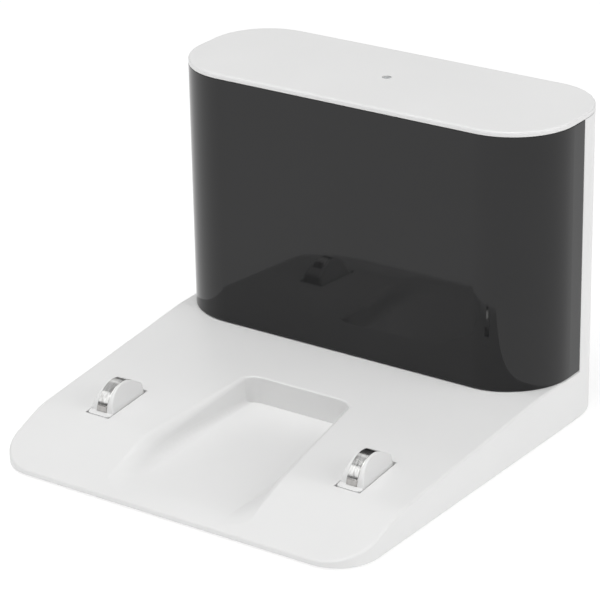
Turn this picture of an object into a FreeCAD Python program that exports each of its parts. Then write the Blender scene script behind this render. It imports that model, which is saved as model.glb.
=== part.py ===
import FreeCAD, Part
import math
import os

from FreeCAD import Vector

# Charging dock of a robot vacuum, millimetres, +Z up, front towards -Y.
# Origin: middle of the footprint on the floor.

# ---------------------------------------------------------------- overall sizes
WIDTH = 130.0
DEPTH = 137.0
HEIGHT = 96.0
FOOT = 1.0                      # how far the feet hold the shell off the floor
WALL = 2.2                      # shell wall
SEAM = 0.15                     # gap at every visible seam

HALF = WIDTH / 2
FRONT_Y = -DEPTH / 2
BACK_Y = DEPTH / 2

# ---------------------------------------------------------------- base and ramp
FRONT_HALF = 62.0               # half width at the front lip
FRONT_CORNER = 13.2
TAPER_END_Y = 42.0              # the sides run straight behind this
TAPER_BLEND = 300.0
LIP_Z = 2.5                     # top of the front lip
KINK_Y = -45.4                  # the steep lead-in ends here
KINK_Z = 10.5
KINK_BLEND = 30.0
SEAT_Y = 26.1                   # the ramp levels out here
SEAT_Z = 16.2                   # the window stands on this level
SEAT_BLEND = 10.0
CEILING = 2.1                   # ramp thickness, measured upright
RAMP_SLOPE = (SEAT_Z - KINK_Z) / (SEAT_Y - KINK_Y)
LEAD_IN_SLOPE = (KINK_Z - LIP_Z) / (KINK_Y - FRONT_Y)
EDGE_ROUND = 0.8                # along the rim of the ramp

# ---------------------------------------------------------------- tower
TOWER_Y = BACK_Y - 46.6
TOWER_FRONT_CORNER = 20.5
TOWER_BACK_CORNER = 19.0
SPLIT_Y = 48.5                  # the window ends and the shell begins
CAP_Z = 94.5
CAP_ROUND = 0.6
WINDOW_WALL = 2.0
LEDGE = 3.4                     # width of the seat under the window
PINHOLE_Y = 45.8
PINHOLE_R = 1.4

# ---------------------------------------------------------------- castor recess
RECESS_BACK_Y = -1.5
RECESS_FLOOR_HALF = 17.0        # the floor is flat this far to each side
RECESS_RIM_HALF = 19.1          # the side wall runs out into the ramp here, at the back
RECESS_FLARE = 0.135            # growth of the rim's half width per millimetre forward
RECESS_FLARE_END = 45.0         # and how far forward it grows
RECESS_CORNER = 6.5
RECESS_BACK_Z = 5.5             # floor at the back
RECESS_FALL = 0.0235            # fall of the floor per millimetre forward
RECESS_DIP = 58.6               # the floor starts to bend down into the lead-in this far forward
RECESS_DIP_ROUND = 25.1
RECESS_RUN_OUT = 0.31           # slope with which the floor runs out into the lead-in
RECESS_FOOT_ROUND = (1.1, 4.5)  # at the foot of the side walls, at the back and at the front
RECESS_RIM_ROUND = (0.9, 3.5)   # along their upper edge, at the back and at the front
RECESS_SKIN = 1.8
RECESS_LENGTH = 75.0
RECESS_STATIONS = 22
RECESS_TOOL_TOP = 30.0          # clear above the ramp
RECESS_ROUND = 0.5              # along the back of the recess's rim

# ---------------------------------------------------------------- bottom plate
PLATE_FRONT_Y = -60.1
PLATE_THICK = 1.8
PLATE_TOP = FOOT + PLATE_THICK
PLATE_GAP = 0.15
BOTTOM_SCREWS = [(52.0, -48.0), (57.0, 8.0), (54.0, 56.0)]
BRACKET_SCREW = (38.0, 31.0)
FEET = [(36.0, -54.0), (38.0, 60.0)]

# ---------------------------------------------------------------- contacts
CONTACT_X = 43.5
SLOT_Y = (-42.5, -23.8)
SLOT_HALF = 4.3
SLOT_CORNER = 0.3
SHOE_GAP = 0.2
SHOE_CORNER = 1.6
SHOE_ROUND = 0.4                # along both sides of the hump
CROWN_Y = (-40.2, -24.6)        # the strip's arc meets the ramp here
CROWN_RISE = 6.4
CROWN_FRONT = 83.0              # degrees of the arc before the crown
CROWN_REAR = 29.0               # and behind it, where the hump falls straight to its heel
HEEL_Y = -24.6
HEEL_LEAN = 12.0                # degrees
HEEL_ROUND = 1.5
CROWN_HALF = 2.3
APRON_RISE = 0.1
STRIP_HALF = 1.75
STRIP_THICK = 0.35
STRIP_PROUD = 0.08
FLANGE_THICK = 0.9
SPRING_Y = -32.5
SPRING_R = 1.55
SPRING_WIRE = 0.45
SPRING_TURNS = 7
POCKET_TOP = 13.7
TRAY_FLOOR = (2.85, 3.45)
TRAY_WALL = 1.4
TERMINAL_THICK = 0.4
TERMINAL_TOP = TRAY_FLOOR[1] + TERMINAL_THICK
PAD_THICK = 0.4
RIVET_R = 0.8

# ---------------------------------------------------------------- cord bay
BAY_HALF = 41.0
BAY_Z = (13.0, 85.0)
TUB_Y = (53.0, 54.6)
TUB_WALL = 1.6
TUB_RIM_Y = BACK_Y - WALL
OPENING_HALF = 42.0
OPENING_Z = (12.0, 86.0)
OPENING_CORNER = 5.0
COVER_GAP = 0.25
POST_X = 20.0
POST_Z = (44.0, 72.0)
POST_HALF = 4.5
NOTCH_X = 30.0
NOTCH_HALF = 3.5
NOTCH_TOP = 18.5

# ---------------------------------------------------------------- inlet
INLET_X = (22.5, 40.9)
INLET_Y = 60.35
INLET_Z = 27.0
INLET_HALF_Y = 5.6
INLET_HALF_Z = 10.0
SOCKET_HALF_Y = 4.4
SOCKET_HALF_Z = 8.2
SOCKET_DEPTH = 12.0
PIN_PITCH = 8.6
PIN_R = 1.18
PIN_X = (25.5, 48.0)

# ---------------------------------------------------------------- electronics
BOARD_Y = (49.9, 51.5)
BOARD_HALF = 48.0
BOARD_Z = (38.0, 86.0)
BOARD_SCREWS = [(-45.0, 46.0), (45.0, 54.0), (-45.0, 82.0), (45.0, 82.0)]
BEACON_Z = 48.0
BEACON_BOARD_Y = (33.4, 35.0)
BEACON_PLATE_Y = (30.5, 32.0)
EMITTER_X = [-34.0, -5.5, 5.5, 34.0]
EMITTER_R = 2.5
BEACON_SCREW_X = 20.0
LEAD_R = 0.8
CONTACT_LEAD_Z = 41.5           # where the contacts' leads reach the power board
PART_FACE_Y = BOARD_Y[0]        # the power board's parts stand on this face
CORE_Y = PART_FACE_Y - 7.0      # middle of the transformer
CORE_Z = (57, 76)
CAP_ROLL = 0.6                  # radius of the rolled groove in a capacitor's can
BULK_CAN = (30.0, 68.0, 5.0, 12.8)      # x, z, radius, height
OUTPUT_CANS = [(-36.0, 56.0, 4.0, 11.5), (-36.0, 66.5, 4.0, 11.5)]
CHIP_PITCH = 2.54
LED_Z = 83.0
GUIDE_Z = 88.6

# ================================================================ drawing helpers


def wire_of(corners):
    """Closed wire through (point, radius) corners, with a tangent arc at each rounded one."""
    spans = []
    for index, (point, radius) in enumerate(corners):
        back = corners[index - 1][0] - point
        ahead = corners[(index + 1) % len(corners)][0] - point
        back.normalize()
        ahead.normalize()
        half_angle = back.getAngle(ahead) / 2
        reach = radius / math.tan(half_angle)
        middle = back + ahead
        if middle.Length > 0:
            middle.normalize()
        crest = point + middle * (radius / math.sin(half_angle) - radius)
        spans.append((point + back * reach, crest, point + ahead * reach, radius))
    edges = []
    for index, (first, crest, last, radius) in enumerate(spans):
        if radius > 0:
            edges.append(Part.Arc(first, crest, last).toShape())
        following = spans[(index + 1) % len(spans)][0]
        if (following - last).Length > 1e-6:
            edges.append(Part.LineSegment(last, following).toShape())
    return Part.Wire(edges)


def slab(corners, low, high):
    """Upright prism of a plan outline given as (x, y, radius) corners."""
    wire = wire_of([(Vector(x, y, low), radius) for x, y, radius in corners])
    return Part.Face(wire).extrude(Vector(0, 0, high - low))


def profile(corners, left, right):
    """Prism across X of a side outline given as (y, z, radius) corners."""
    wire = wire_of([(Vector(left, y, z), radius) for y, z, radius in corners])
    return Part.Face(wire).extrude(Vector(right - left, 0, 0))


def panel(corners, front, back):
    """Prism along Y of a front outline given as (x, z, radius) corners."""
    wire = wire_of([(Vector(x, front, z), radius) for x, z, radius in corners])
    return Part.Face(wire).extrude(Vector(0, back - front, 0))


def block(x, y, z):
    """Box from three (low, high) pairs."""
    return Part.makeBox(x[1] - x[0], y[1] - y[0], z[1] - z[0], Vector(x[0], y[0], z[0]))


def rectangle(centre_x, centre_y, half_x, half_y, radius):
    """Corners of a rounded rectangle, anticlockwise."""
    return [(centre_x - half_x, centre_y - half_y, radius), (centre_x + half_x, centre_y - half_y, radius),
            (centre_x + half_x, centre_y + half_y, radius), (centre_x - half_x, centre_y + half_y, radius)]


def inset(corners, distance):
    """The anticlockwise outline moved inwards; its arcs keep their centres."""
    moved = []
    for index, (x, y, radius) in enumerate(corners):
        here = Vector(x, y, 0)
        before = here - Vector(*corners[index - 1][:2], 0)
        after = Vector(*corners[(index + 1) % len(corners)][:2], 0) - here
        before.normalize()
        after.normalize()
        inward_before = Vector(-before.y, before.x, 0)
        inward_after = Vector(-after.y, after.x, 0)
        middle = inward_before + inward_after
        shift = middle * (2 * distance / middle.Length ** 2)
        moved.append((x + shift.x, y + shift.y, max(radius - distance, 0.0) if radius > 0 else 0.0))
    return moved


def rod(start, end, radius):
    """Round bar from one point to another."""
    start = Vector(*start)
    along = Vector(*end) - start
    return Part.makeCylinder(radius, along.Length, start, along)


def fuse(shapes):
    """One clean solid from shapes that touch."""
    return shapes[0].multiFuse(shapes[1:]).removeSplitter()


def cut(shape, tools):
    """The shape with every tool taken away."""
    return shape.cut(Part.makeCompound(tools)).removeSplitter()


def mirrored(shape):
    """The shape's mirror image across the middle plane."""
    return shape.mirror(Vector(0, 0, 0), Vector(1, 0, 0))


def screw(x, y, z, direction, length, head_r, head_h, shank_r):
    """Pan-head screw: the head's outer face is at the point, and the shank runs along the direction."""
    axis = Vector(*direction)
    point = Vector(x, y, z)
    head = Part.makeCylinder(head_r, head_h, point, axis)
    shank = Part.makeCylinder(shank_r, length, point + axis * head_h, axis)
    slot_depth = 0.5 * head_h
    socket = Part.makeCylinder(0.45 * head_r, slot_depth, point, axis)
    return cut(fuse([head, shank]), [socket])


def lead(points, radius):
    """Round lead along straight runs joined by tangent arcs, each as large as its runs allow."""
    route = [Vector(*point) for point in points]
    edges = []
    last = route[0]
    for index in range(1, len(route) - 1):
        back = route[index - 1] - route[index]
        ahead = route[index + 1] - route[index]
        reach = 0.45 * min(back.Length, ahead.Length)
        back.normalize()
        ahead.normalize()
        half_angle = back.getAngle(ahead) / 2
        bend = reach * math.tan(half_angle)
        middle = back + ahead
        middle.normalize()
        first = route[index] + back * reach
        crest = route[index] + middle * (bend / math.sin(half_angle) - bend)
        end = route[index] + ahead * reach
        edges.append(Part.LineSegment(last, first).toShape())
        edges.append(Part.Arc(first, crest, end).toShape())
        last = end
    edges.append(Part.LineSegment(last, route[-1]).toShape())
    path = Part.Wire(edges)
    ring = Part.Wire(Part.makeCircle(radius, route[0], route[1] - route[0]))
    return path.makePipeShell([ring], True, False)


# ================================================================ outlines


def base_corners():
    """Footprint of the shell."""
    return [(-FRONT_HALF, FRONT_Y, FRONT_CORNER), (FRONT_HALF, FRONT_Y, FRONT_CORNER),
            (HALF, TAPER_END_Y, TAPER_BLEND), (HALF, BACK_Y, TOWER_BACK_CORNER),
            (-HALF, BACK_Y, TOWER_BACK_CORNER), (-HALF, TAPER_END_Y, TAPER_BLEND)]


def tower_corners():
    """Plan of the tower."""
    return [(-HALF, TOWER_Y, TOWER_FRONT_CORNER), (HALF, TOWER_Y, TOWER_FRONT_CORNER),
            (HALF, BACK_Y, TOWER_BACK_CORNER), (-HALF, BACK_Y, TOWER_BACK_CORNER)]


def ramp_z(y):
    """Height of the main ramp's surface."""
    return KINK_Z + RAMP_SLOPE * (y - KINK_Y)


def under_ramp(drop, front, low):
    """Space below the ramp's surface by the drop, from the front line back, down to the low level."""
    front_z = LIP_Z + LEAD_IN_SLOPE * (front - FRONT_Y) - drop
    return profile([(front, low, 0), (front, front_z, 0), (KINK_Y, KINK_Z - drop, KINK_BLEND),
                    (SEAT_Y, SEAT_Z - drop, SEAT_BLEND), (BACK_Y + 1, SEAT_Z - drop, 0),
                    (BACK_Y + 1, low, 0)], -HALF - 1, HALF + 1)


def surface_z(y):
    """Height of the ramp's surface, with its lead-in and the blend between the two."""
    ahead = y - KINK_Y
    reach = KINK_BLEND * math.tan((math.atan(LEAD_IN_SLOPE) - math.atan(RAMP_SLOPE)) / 2)
    if ahead > reach:
        return KINK_Z + RAMP_SLOPE * ahead
    if ahead < -reach:
        return KINK_Z + LEAD_IN_SLOPE * ahead
    bow = (LEAD_IN_SLOPE - RAMP_SLOPE) * (ahead ** 2 + reach ** 2) / (4 * reach)
    return KINK_Z + (RAMP_SLOPE + LEAD_IN_SLOPE) / 2 * ahead - bow


def recess_floor(forward):
    """Height of the recess's floor, a distance forward of its back edge."""
    dip_end = RECESS_DIP + (RECESS_RUN_OUT - RECESS_FALL) * RECESS_DIP_ROUND
    dip = min(max(forward - RECESS_DIP, 0.0), dip_end - RECESS_DIP)
    run_out = max(forward - dip_end, 0.0)
    level = RECESS_BACK_Z - RECESS_FALL * (forward - run_out) - RECESS_RUN_OUT * run_out
    return level - dip ** 2 / (2 * RECESS_DIP_ROUND)


def wall_lean(across, rise, radii):
    """Steepest angle of an S-shaped wall that rises over a width, with both its radii added."""
    flat = 0.0
    steep = math.pi / 2
    for _ in range(60):
        angle = (flat + steep) / 2
        if across * math.sin(angle) - rise * math.cos(angle) < radii * (1 - math.cos(angle)):
            flat = angle
        else:
            steep = angle
    return (flat + steep) / 2


def recess_section(forward, skin):
    """Cross-section of the castor recess, a distance forward of its back edge."""
    y = RECESS_BACK_Y - forward
    floor = recess_floor(forward)
    progress = min(max(forward / RECESS_FLARE_END, 0.0), 1.0)
    foot_round = RECESS_FOOT_ROUND[0] + (RECESS_FOOT_ROUND[1] - RECESS_FOOT_ROUND[0]) * progress
    rim_round = RECESS_RIM_ROUND[0] + (RECESS_RIM_ROUND[1] - RECESS_RIM_ROUND[0]) * progress
    half = RECESS_FLOOR_HALF
    across = RECESS_RIM_HALF + RECESS_FLARE * RECESS_FLARE_END * progress - half
    rise = max(surface_z(y) - floor, 0.3) + 0.01 * rim_round
    lean = wall_lean(across, rise, foot_round + rim_round)
    foot_round += skin
    rim_round = max(rim_round - skin, 0.1)
    low = floor - skin
    high = low + rise
    foot_end = Vector(half + foot_round * math.sin(lean), y, low + foot_round * (1 - math.cos(lean)))
    half_lean = lean / 2
    foot_crest_z = low + foot_round * (1 - math.cos(half_lean))
    foot_crest = Vector(half + foot_round * math.sin(half_lean), y, foot_crest_z)
    rim_x = half + across
    rim_start = Vector(rim_x - rim_round * math.sin(lean), y, high - rim_round * (1 - math.cos(lean)))
    rim_crest_z = high - rim_round * (1 - math.cos(half_lean))
    rim_crest = Vector(rim_x - rim_round * math.sin(half_lean), y, rim_crest_z)
    right = [Vector(half, y, low), foot_crest, foot_end, rim_start, rim_crest, Vector(rim_x, y, high),
             Vector(rim_x, y, RECESS_TOOL_TOP)]
    left = [Vector(-point.x, y, point.z) for point in right]
    edges = [Part.LineSegment(left[0], right[0]).toShape()]
    edges.append(Part.Arc(right[0], right[1], right[2]).toShape())
    edges.append(Part.LineSegment(right[2], right[3]).toShape())
    edges.append(Part.Arc(right[3], right[4], right[5]).toShape())
    edges.append(Part.LineSegment(right[5], right[6]).toShape())
    edges.append(Part.LineSegment(right[6], left[6]).toShape())
    edges.append(Part.LineSegment(left[6], left[5]).toShape())
    edges.append(Part.Arc(left[5], left[4], left[3]).toShape())
    edges.append(Part.LineSegment(left[3], left[2]).toShape())
    edges.append(Part.Arc(left[2], left[1], left[0]).toShape())
    return Part.Wire(edges)


def castor_recess(skin):
    """Hollow for the vacuum's front castor, grown by the skin on every side."""
    step = (RECESS_LENGTH + 4.0) / RECESS_STATIONS
    stations = [index * step - 4.0 for index in range(RECESS_STATIONS + 1)]
    channel = Part.makeLoft([recess_section(forward, skin) for forward in stations], True, False)
    half = RECESS_RIM_HALF - RECESS_ROUND + skin
    wide = half + RECESS_FLARE * RECESS_LENGTH + 10
    plan = slab([(-wide, RECESS_BACK_Y - RECESS_LENGTH, 0), (wide, RECESS_BACK_Y - RECESS_LENGTH, 0),
                 (half, RECESS_BACK_Y + skin, RECESS_CORNER + skin),
                 (-half, RECESS_BACK_Y + skin, RECESS_CORNER + skin)], -5, RECESS_TOOL_TOP + 10)
    return channel.common(plan)


# ================================================================ casing


def body_shell():
    """White moulding: ramp, skirt and the back of the tower."""
    skirt = slab(base_corners(), FOOT, SEAT_Z)
    ramp = profile([(FRONT_Y - 1, FOOT, 0), (FRONT_Y - 1, LIP_Z - LEAD_IN_SLOPE, 0),
                    (KINK_Y, KINK_Z, KINK_BLEND), (SEAT_Y, SEAT_Z, SEAT_BLEND),
                    (BACK_Y + 1, SEAT_Z, 0), (BACK_Y + 1, FOOT, 0)], -HALF - 1, HALF + 1)
    base = skirt.common(ramp)
    base = base.cut(castor_recess(0.0))
    base = base.makeFillet(EDGE_ROUND, [edge for edge in base.Edges if on_rim(edge)])
    base = base.makeFillet(RECESS_ROUND, [edge for edge in base.Edges if on_recess_back(edge)])
    tower = slab(tower_corners(), SEAT_Z - 3, CAP_Z - SEAM)
    tower = tower.common(block((-HALF, HALF), (SPLIT_Y, BACK_Y), (0, HEIGHT)))
    outer = fuse([base, tower])

    hollow = slab(inset(base_corners(), WALL), FOOT - 1, SEAT_Z)
    hollow = hollow.common(under_ramp(CEILING, PLATE_FRONT_Y - PLATE_GAP, 0.0))
    hollow = hollow.cut(castor_recess(RECESS_SKIN))
    plate_room = slab(inset(base_corners(), WALL), FOOT - 1, PLATE_TOP + PLATE_GAP)
    plate_room = plate_room.common(
        block((-HALF, HALF), (PLATE_FRONT_Y - PLATE_GAP, BACK_Y), (0, PLATE_TOP + PLATE_GAP)))
    seat_hole = slab(inset(tower_corners(), LEDGE), FOOT, HEIGHT)
    back_room = slab(inset(tower_corners(), WALL), FOOT, HEIGHT)
    back_room = back_room.common(block((-HALF, HALF), (SPLIT_Y - 6, BACK_Y), (0, HEIGHT)))
    opening = panel(rounded_opening(0.0), TUB_RIM_Y - 5, BACK_Y + 5)
    slots = []
    for side in (-1, 1):
        middle = (SLOT_Y[0] + SLOT_Y[1]) / 2
        half_length = (SLOT_Y[1] - SLOT_Y[0]) / 2
        slots.append(slab(rectangle(side * CONTACT_X, middle, SLOT_HALF, half_length, SLOT_CORNER), 3, 25))
    shell = cut(outer, [hollow, plate_room, seat_hole, back_room, opening] + slots)

    rib = slab(inset(tower_corners(), WALL), SEAT_Z - 0.5, SEAT_Z + 1.6)
    rib = rib.cut(slab(inset(tower_corners(), LEDGE), SEAT_Z - 1, SEAT_Z + 2))
    rib = rib.common(block((-HALF, HALF), (0, SPLIT_Y - 6.5), (0, HEIGHT)))
    bosses = []
    for side in (-1, 1):
        for x, y in BOTTOM_SCREWS:
            boss = rod((side * x, y, PLATE_TOP + PLATE_GAP), (side * x, y, SEAT_Z + 4), 3.2)
            web = block(sorted((side * x, side * HALF)), (y - 1.5, y + 1.5), (PLATE_TOP + 1, SEAT_Z + 2))
            bosses.append(fuse([boss, web]).common(fuse([base, tower])))
        for y in tray_screw_ys():
            bosses.append(rod((side * CONTACT_X, y, 5.7), (side * CONTACT_X, y, ramp_z(y) - 1.6), 2.4))
    shell = fuse([shell, rib] + bosses)
    drills = []
    for side in (-1, 1):
        for x, y in BOTTOM_SCREWS:
            drills.append(rod((side * x, y, 0), (side * x, y, 7.6 if y < 0 else 9.0), 1.25))
        for y in tray_screw_ys():
            drills.append(rod((side * CONTACT_X, y, 3), (side * CONTACT_X, y, 7.9), 0.95))
    for x, z in tub_screw_places():
        drills.append(rod((x, TUB_RIM_Y - 1, z), (x, TUB_RIM_Y + 1.3, z), 0.8))
    return cut(shell, drills)


def on_recess_back(edge):
    """True for the recess's upper edge along its back and round its two back corners."""
    box = edge.BoundBox
    at_back = box.YMin > RECESS_BACK_Y - RECESS_CORNER and box.YMax < RECESS_BACK_Y + 1
    on_ramp = box.ZMin > surface_z(RECESS_BACK_Y - RECESS_CORNER)
    return at_back and on_ramp and 1 < box.XLength < 2 * RECESS_RIM_HALF


def on_rim(edge):
    """True for the ramp's outer edge, from the front lip back to the window."""
    box = edge.BoundBox
    if box.ZMin < LIP_Z - 0.1 or box.YMin > TAPER_END_Y:
        return False
    middle = edge.valueAt((edge.FirstParameter + edge.LastParameter) / 2)
    half = FRONT_HALF + (HALF - FRONT_HALF) * (middle.y - FRONT_Y) / (TAPER_END_Y - FRONT_Y)
    flat_across = box.XMax - box.XMin > 100
    at_side = abs(abs(middle.x) - half) < 5.0
    at_front = middle.y < FRONT_Y + 0.5
    return (at_side or at_front) and not (flat_across and not at_front)


def rounded_opening(gap):
    """Outline of the cord bay's opening in the back wall, made smaller by the gap."""
    return [(-OPENING_HALF + gap, OPENING_Z[0] + gap, OPENING_CORNER - gap),
            (OPENING_HALF - gap, OPENING_Z[0] + gap, OPENING_CORNER - gap),
            (OPENING_HALF - gap, OPENING_Z[1] - gap, OPENING_CORNER - gap),
            (-OPENING_HALF + gap, OPENING_Z[1] - gap, OPENING_CORNER - gap)]


def bottom_plate():
    """Plate that closes the base from below."""
    plate = slab(inset(base_corners(), WALL + PLATE_GAP), FOOT, PLATE_TOP)
    plate = plate.common(block((-HALF, HALF), (PLATE_FRONT_Y, BACK_Y), (0, PLATE_TOP)))
    holes = []
    pegs = []
    for side in (-1, 1):
        for x, y in BOTTOM_SCREWS + [BRACKET_SCREW]:
            holes.append(rod((side * x, y, FOOT - 1), (side * x, y, FOOT + 1.0), 2.9))
            holes.append(rod((side * x, y, FOOT - 1), (side * x, y, PLATE_TOP + 1), 1.6))
        for x, y in FEET:
            holes.append(slab(rectangle(side * x, y, 11.2, 4.2, 4.19), 0, FOOT + 0.6))
        pegs.append(rod((side * 30, 11.5, FOOT + 0.5), (side * 30, 11.5, 8.0), 2.4))
    return fuse([cut(plate, holes)] + pegs)


def rubber_feet():
    """Four anti-slip pads."""
    pads = []
    for side in (-1, 1):
        for x, y in FEET:
            pad = slab(rectangle(side * x, y, 11.0, 4.0, 3.99), 0, FOOT + 0.6)
            pads.append(pad.makeFillet(0.4, [edge for edge in pad.Edges if edge.BoundBox.ZMax < 0.1]))
    return Part.makeCompound(pads)


def bottom_screws():
    """Screws of the bottom plate."""
    screws = []
    for side in (-1, 1):
        for x, y in BOTTOM_SCREWS:
            screws.append(screw(side * x, y, FOOT, (0, 0, 1), 5.2 if y < 0 else 6.6, 2.7, 1.0, 1.25))
        x, y = BRACKET_SCREW
        screws.append(screw(side * x, y, FOOT, (0, 0, 1), 6.0, 2.7, 1.0, 1.25))
    return Part.makeCompound(screws)


def window_cover():
    """Dark window round the front and sides of the tower, with tongues that lap into the shell."""
    low = SEAT_Z + SEAM
    high = CAP_Z - SEAM
    skin = slab(tower_corners(), low, high)
    skin = skin.cut(slab(inset(tower_corners(), WINDOW_WALL), low - 1, high + 1))
    skin = skin.common(block((-HALF, HALF), (0, SPLIT_Y - SEAM), (0, HEIGHT)))
    tongue = slab(inset(tower_corners(), WALL + SEAM), low + 4, high - 4.5)
    tongue = tongue.cut(slab(inset(tower_corners(), LEDGE + SEAM), low, high))
    tongue = tongue.common(block((-HALF, HALF), (SPLIT_Y - 4.5, SPLIT_Y + 4), (0, HEIGHT)))
    root = slab(inset(tower_corners(), WINDOW_WALL - 0.5), low + 4, high - 4.5)
    root = root.cut(slab(inset(tower_corners(), LEDGE + SEAM), low, high))
    root = root.common(block((-HALF, HALF), (SPLIT_Y - 4.5, SPLIT_Y - 0.5), (0, HEIGHT)))
    return fuse([skin, tongue, root])


def top_cap():
    """Lid of the tower with its skirt, the light guide's collar and the pin hole."""
    plate = slab(tower_corners(), CAP_Z, HEIGHT)
    crown = [edge for edge in plate.Edges if edge.BoundBox.ZMin > HEIGHT - 0.01]
    plate = plate.makeFillet(CAP_ROUND, crown)
    skirt = slab(inset(tower_corners(), WALL + SEAM), CAP_Z - 4, CAP_Z)
    skirt = skirt.cut(slab(inset(tower_corners(), WALL + SEAM + 1.4), CAP_Z - 5, CAP_Z + 1))
    collar = rod((0, PINHOLE_Y, CAP_Z - 4), (0, PINHOLE_Y, CAP_Z), 3.0)
    bore = rod((0, PINHOLE_Y, CAP_Z - 5), (0, PINHOLE_Y, HEIGHT + 1), PINHOLE_R)
    return cut(fuse([plate, skirt, collar]), [bore])


def back_cover():
    """Lift-off cover of the cord bay, with a finger scoop, two cord notches and four gripping ribs."""
    plate = panel(rounded_opening(COVER_GAP), TUB_RIM_Y, BACK_Y)
    face = [edge for edge in plate.Edges if edge.BoundBox.YMin > BACK_Y - 0.01]
    plate = plate.makeFillet(0.5, face)
    scoop = panel([(-14, 72, 3.9), (14, 72, 3.9), (14, 80, 3.9), (-14, 80, 3.9)], BACK_Y - 1.2, BACK_Y + 1)
    notches = []
    for side in (-1, 1):
        left = side * NOTCH_X - NOTCH_HALF
        right = side * NOTCH_X + NOTCH_HALF
        notches.append(panel([(left, 5, 0), (right, 5, 0), (right, NOTCH_TOP, 3), (left, NOTCH_TOP, 3)],
                             TUB_RIM_Y - 1, BACK_Y + 1))
    ribs = []
    for side in (-1, 1):
        for z in (41.0, 64.0):
            inner = sorted((side * (BAY_HALF - 0.3), side * (BAY_HALF - 1.8)))
            ribs.append(block(inner, (TUB_RIM_Y - 3.5, TUB_RIM_Y + 0.5), (z, z + 12)))
    return fuse([cut(plate, [scoop] + notches)] + ribs)


# ================================================================ contacts


def tray_screw_ys():
    """Rows of the two screws that hold a contact tray."""
    middle = (SLOT_Y[0] + SLOT_Y[1]) / 2
    return [middle - 15.0, middle + 15.0]


def crown_circle():
    """Centre (y, z) and radius of the arc that the strip follows over the shoe."""
    front = Vector(0, CROWN_Y[0], ramp_z(CROWN_Y[0]))
    back = Vector(0, CROWN_Y[1], ramp_z(CROWN_Y[1]))
    chord = back - front
    radius = (chord.Length ** 2 / 4 + CROWN_RISE ** 2) / (2 * CROWN_RISE)
    along = chord.normalize()
    normal = Vector(0, -along.z, along.y)
    centre = (front + back) * 0.5 + normal * (CROWN_RISE - radius)
    return centre, radius


def hump_outline():
    """Hump seen from the side: the strip's arc, a straight fall behind it and a rounded heel."""
    centre, radius = crown_circle()
    front = math.radians(CROWN_FRONT)
    rear = math.radians(CROWN_REAR)
    bisector = (rear - front) / 2
    reach = radius / math.cos((rear + front) / 2)
    peak = centre + Vector(0, math.sin(bisector), math.cos(bisector)) * reach
    heel_z = peak.z - (HEEL_Y - peak.y) * math.tan(rear)
    toe_y = peak.y - peak.z / math.tan(front)
    tail_y = HEEL_Y + heel_z * math.tan(math.radians(HEEL_LEAN))
    return [(toe_y, 0, 0), (peak.y, peak.z, radius), (HEEL_Y, heel_z, HEEL_ROUND), (tail_y, 0, 0)]


def on_crest(edge, crown_z):
    """True for the long edges between the hump's arc and its sides, which meet at the crown."""
    box = edge.BoundBox
    return box.ZMax > crown_z - 0.6 and box.YLength > 5


def contact_shoe():
    """Right-hand shoe: a hump that narrows upwards, on a flange that keeps it in its slot."""
    middle = (SLOT_Y[0] + SLOT_Y[1]) / 2
    half_length = (SLOT_Y[1] - SLOT_Y[0]) / 2 - SHOE_GAP
    half_width = SLOT_HALF - SHOE_GAP
    low = 6.0
    base_z = ramp_z(middle) - 1.0
    top_z = ramp_z(middle) + CROWN_RISE + 1.0
    foot = slab(rectangle(CONTACT_X, middle, half_width, half_length, SHOE_CORNER), low, base_z)
    wires = []
    for z, half, corner in ((base_z, half_width, SHOE_CORNER), (top_z, CROWN_HALF - 0.2, SHOE_CORNER - 0.4)):
        wires.append(wire_of([(Vector(x, y, z), radius)
                              for x, y, radius in rectangle(CONTACT_X, middle, half, half_length, corner)]))
    hump = fuse([foot, Part.makeLoft(wires, True, True)])
    dome = profile(hump_outline(), CONTACT_X - 10, CONTACT_X + 10)
    apron = under_slope(-APRON_RISE, SLOT_Y[0] - 1, SLOT_Y[1] + 1)
    hump = hump.common(fuse([dome, apron]))
    crests = [edge for edge in hump.Edges if on_crest(edge, ramp_z(middle) + CROWN_RISE)]
    hump = hump.makeFillet(SHOE_ROUND, crests)
    flange = slab(rectangle(CONTACT_X, middle, half_width + 1.2, half_length + 1.2, 3.0), 0, 30)
    flange = flange.common(under_slope(CEILING + SEAM, SLOT_Y[0] - 3, SLOT_Y[1] + 3))
    floor = under_slope(CEILING + SEAM + FLANGE_THICK, SLOT_Y[0] - 5, SLOT_Y[1] + 5)
    pocket = rod((CONTACT_X, SPRING_Y, 0), (CONTACT_X, SPRING_Y, POCKET_TOP), SPRING_R + 0.55)
    return cut(fuse([hump, flange]), [floor, pocket, contact_strip()])


def under_slope(drop, front, back):
    """Space below the main ramp's plane, lowered by the drop."""
    front_z = ramp_z(front) - drop
    back_z = ramp_z(back) - drop
    return profile([(front, -5, 0), (back, -5, 0), (back, back_z, 0), (front, front_z, 0)],
                   CONTACT_X - 20, CONTACT_X + 20)


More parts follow.
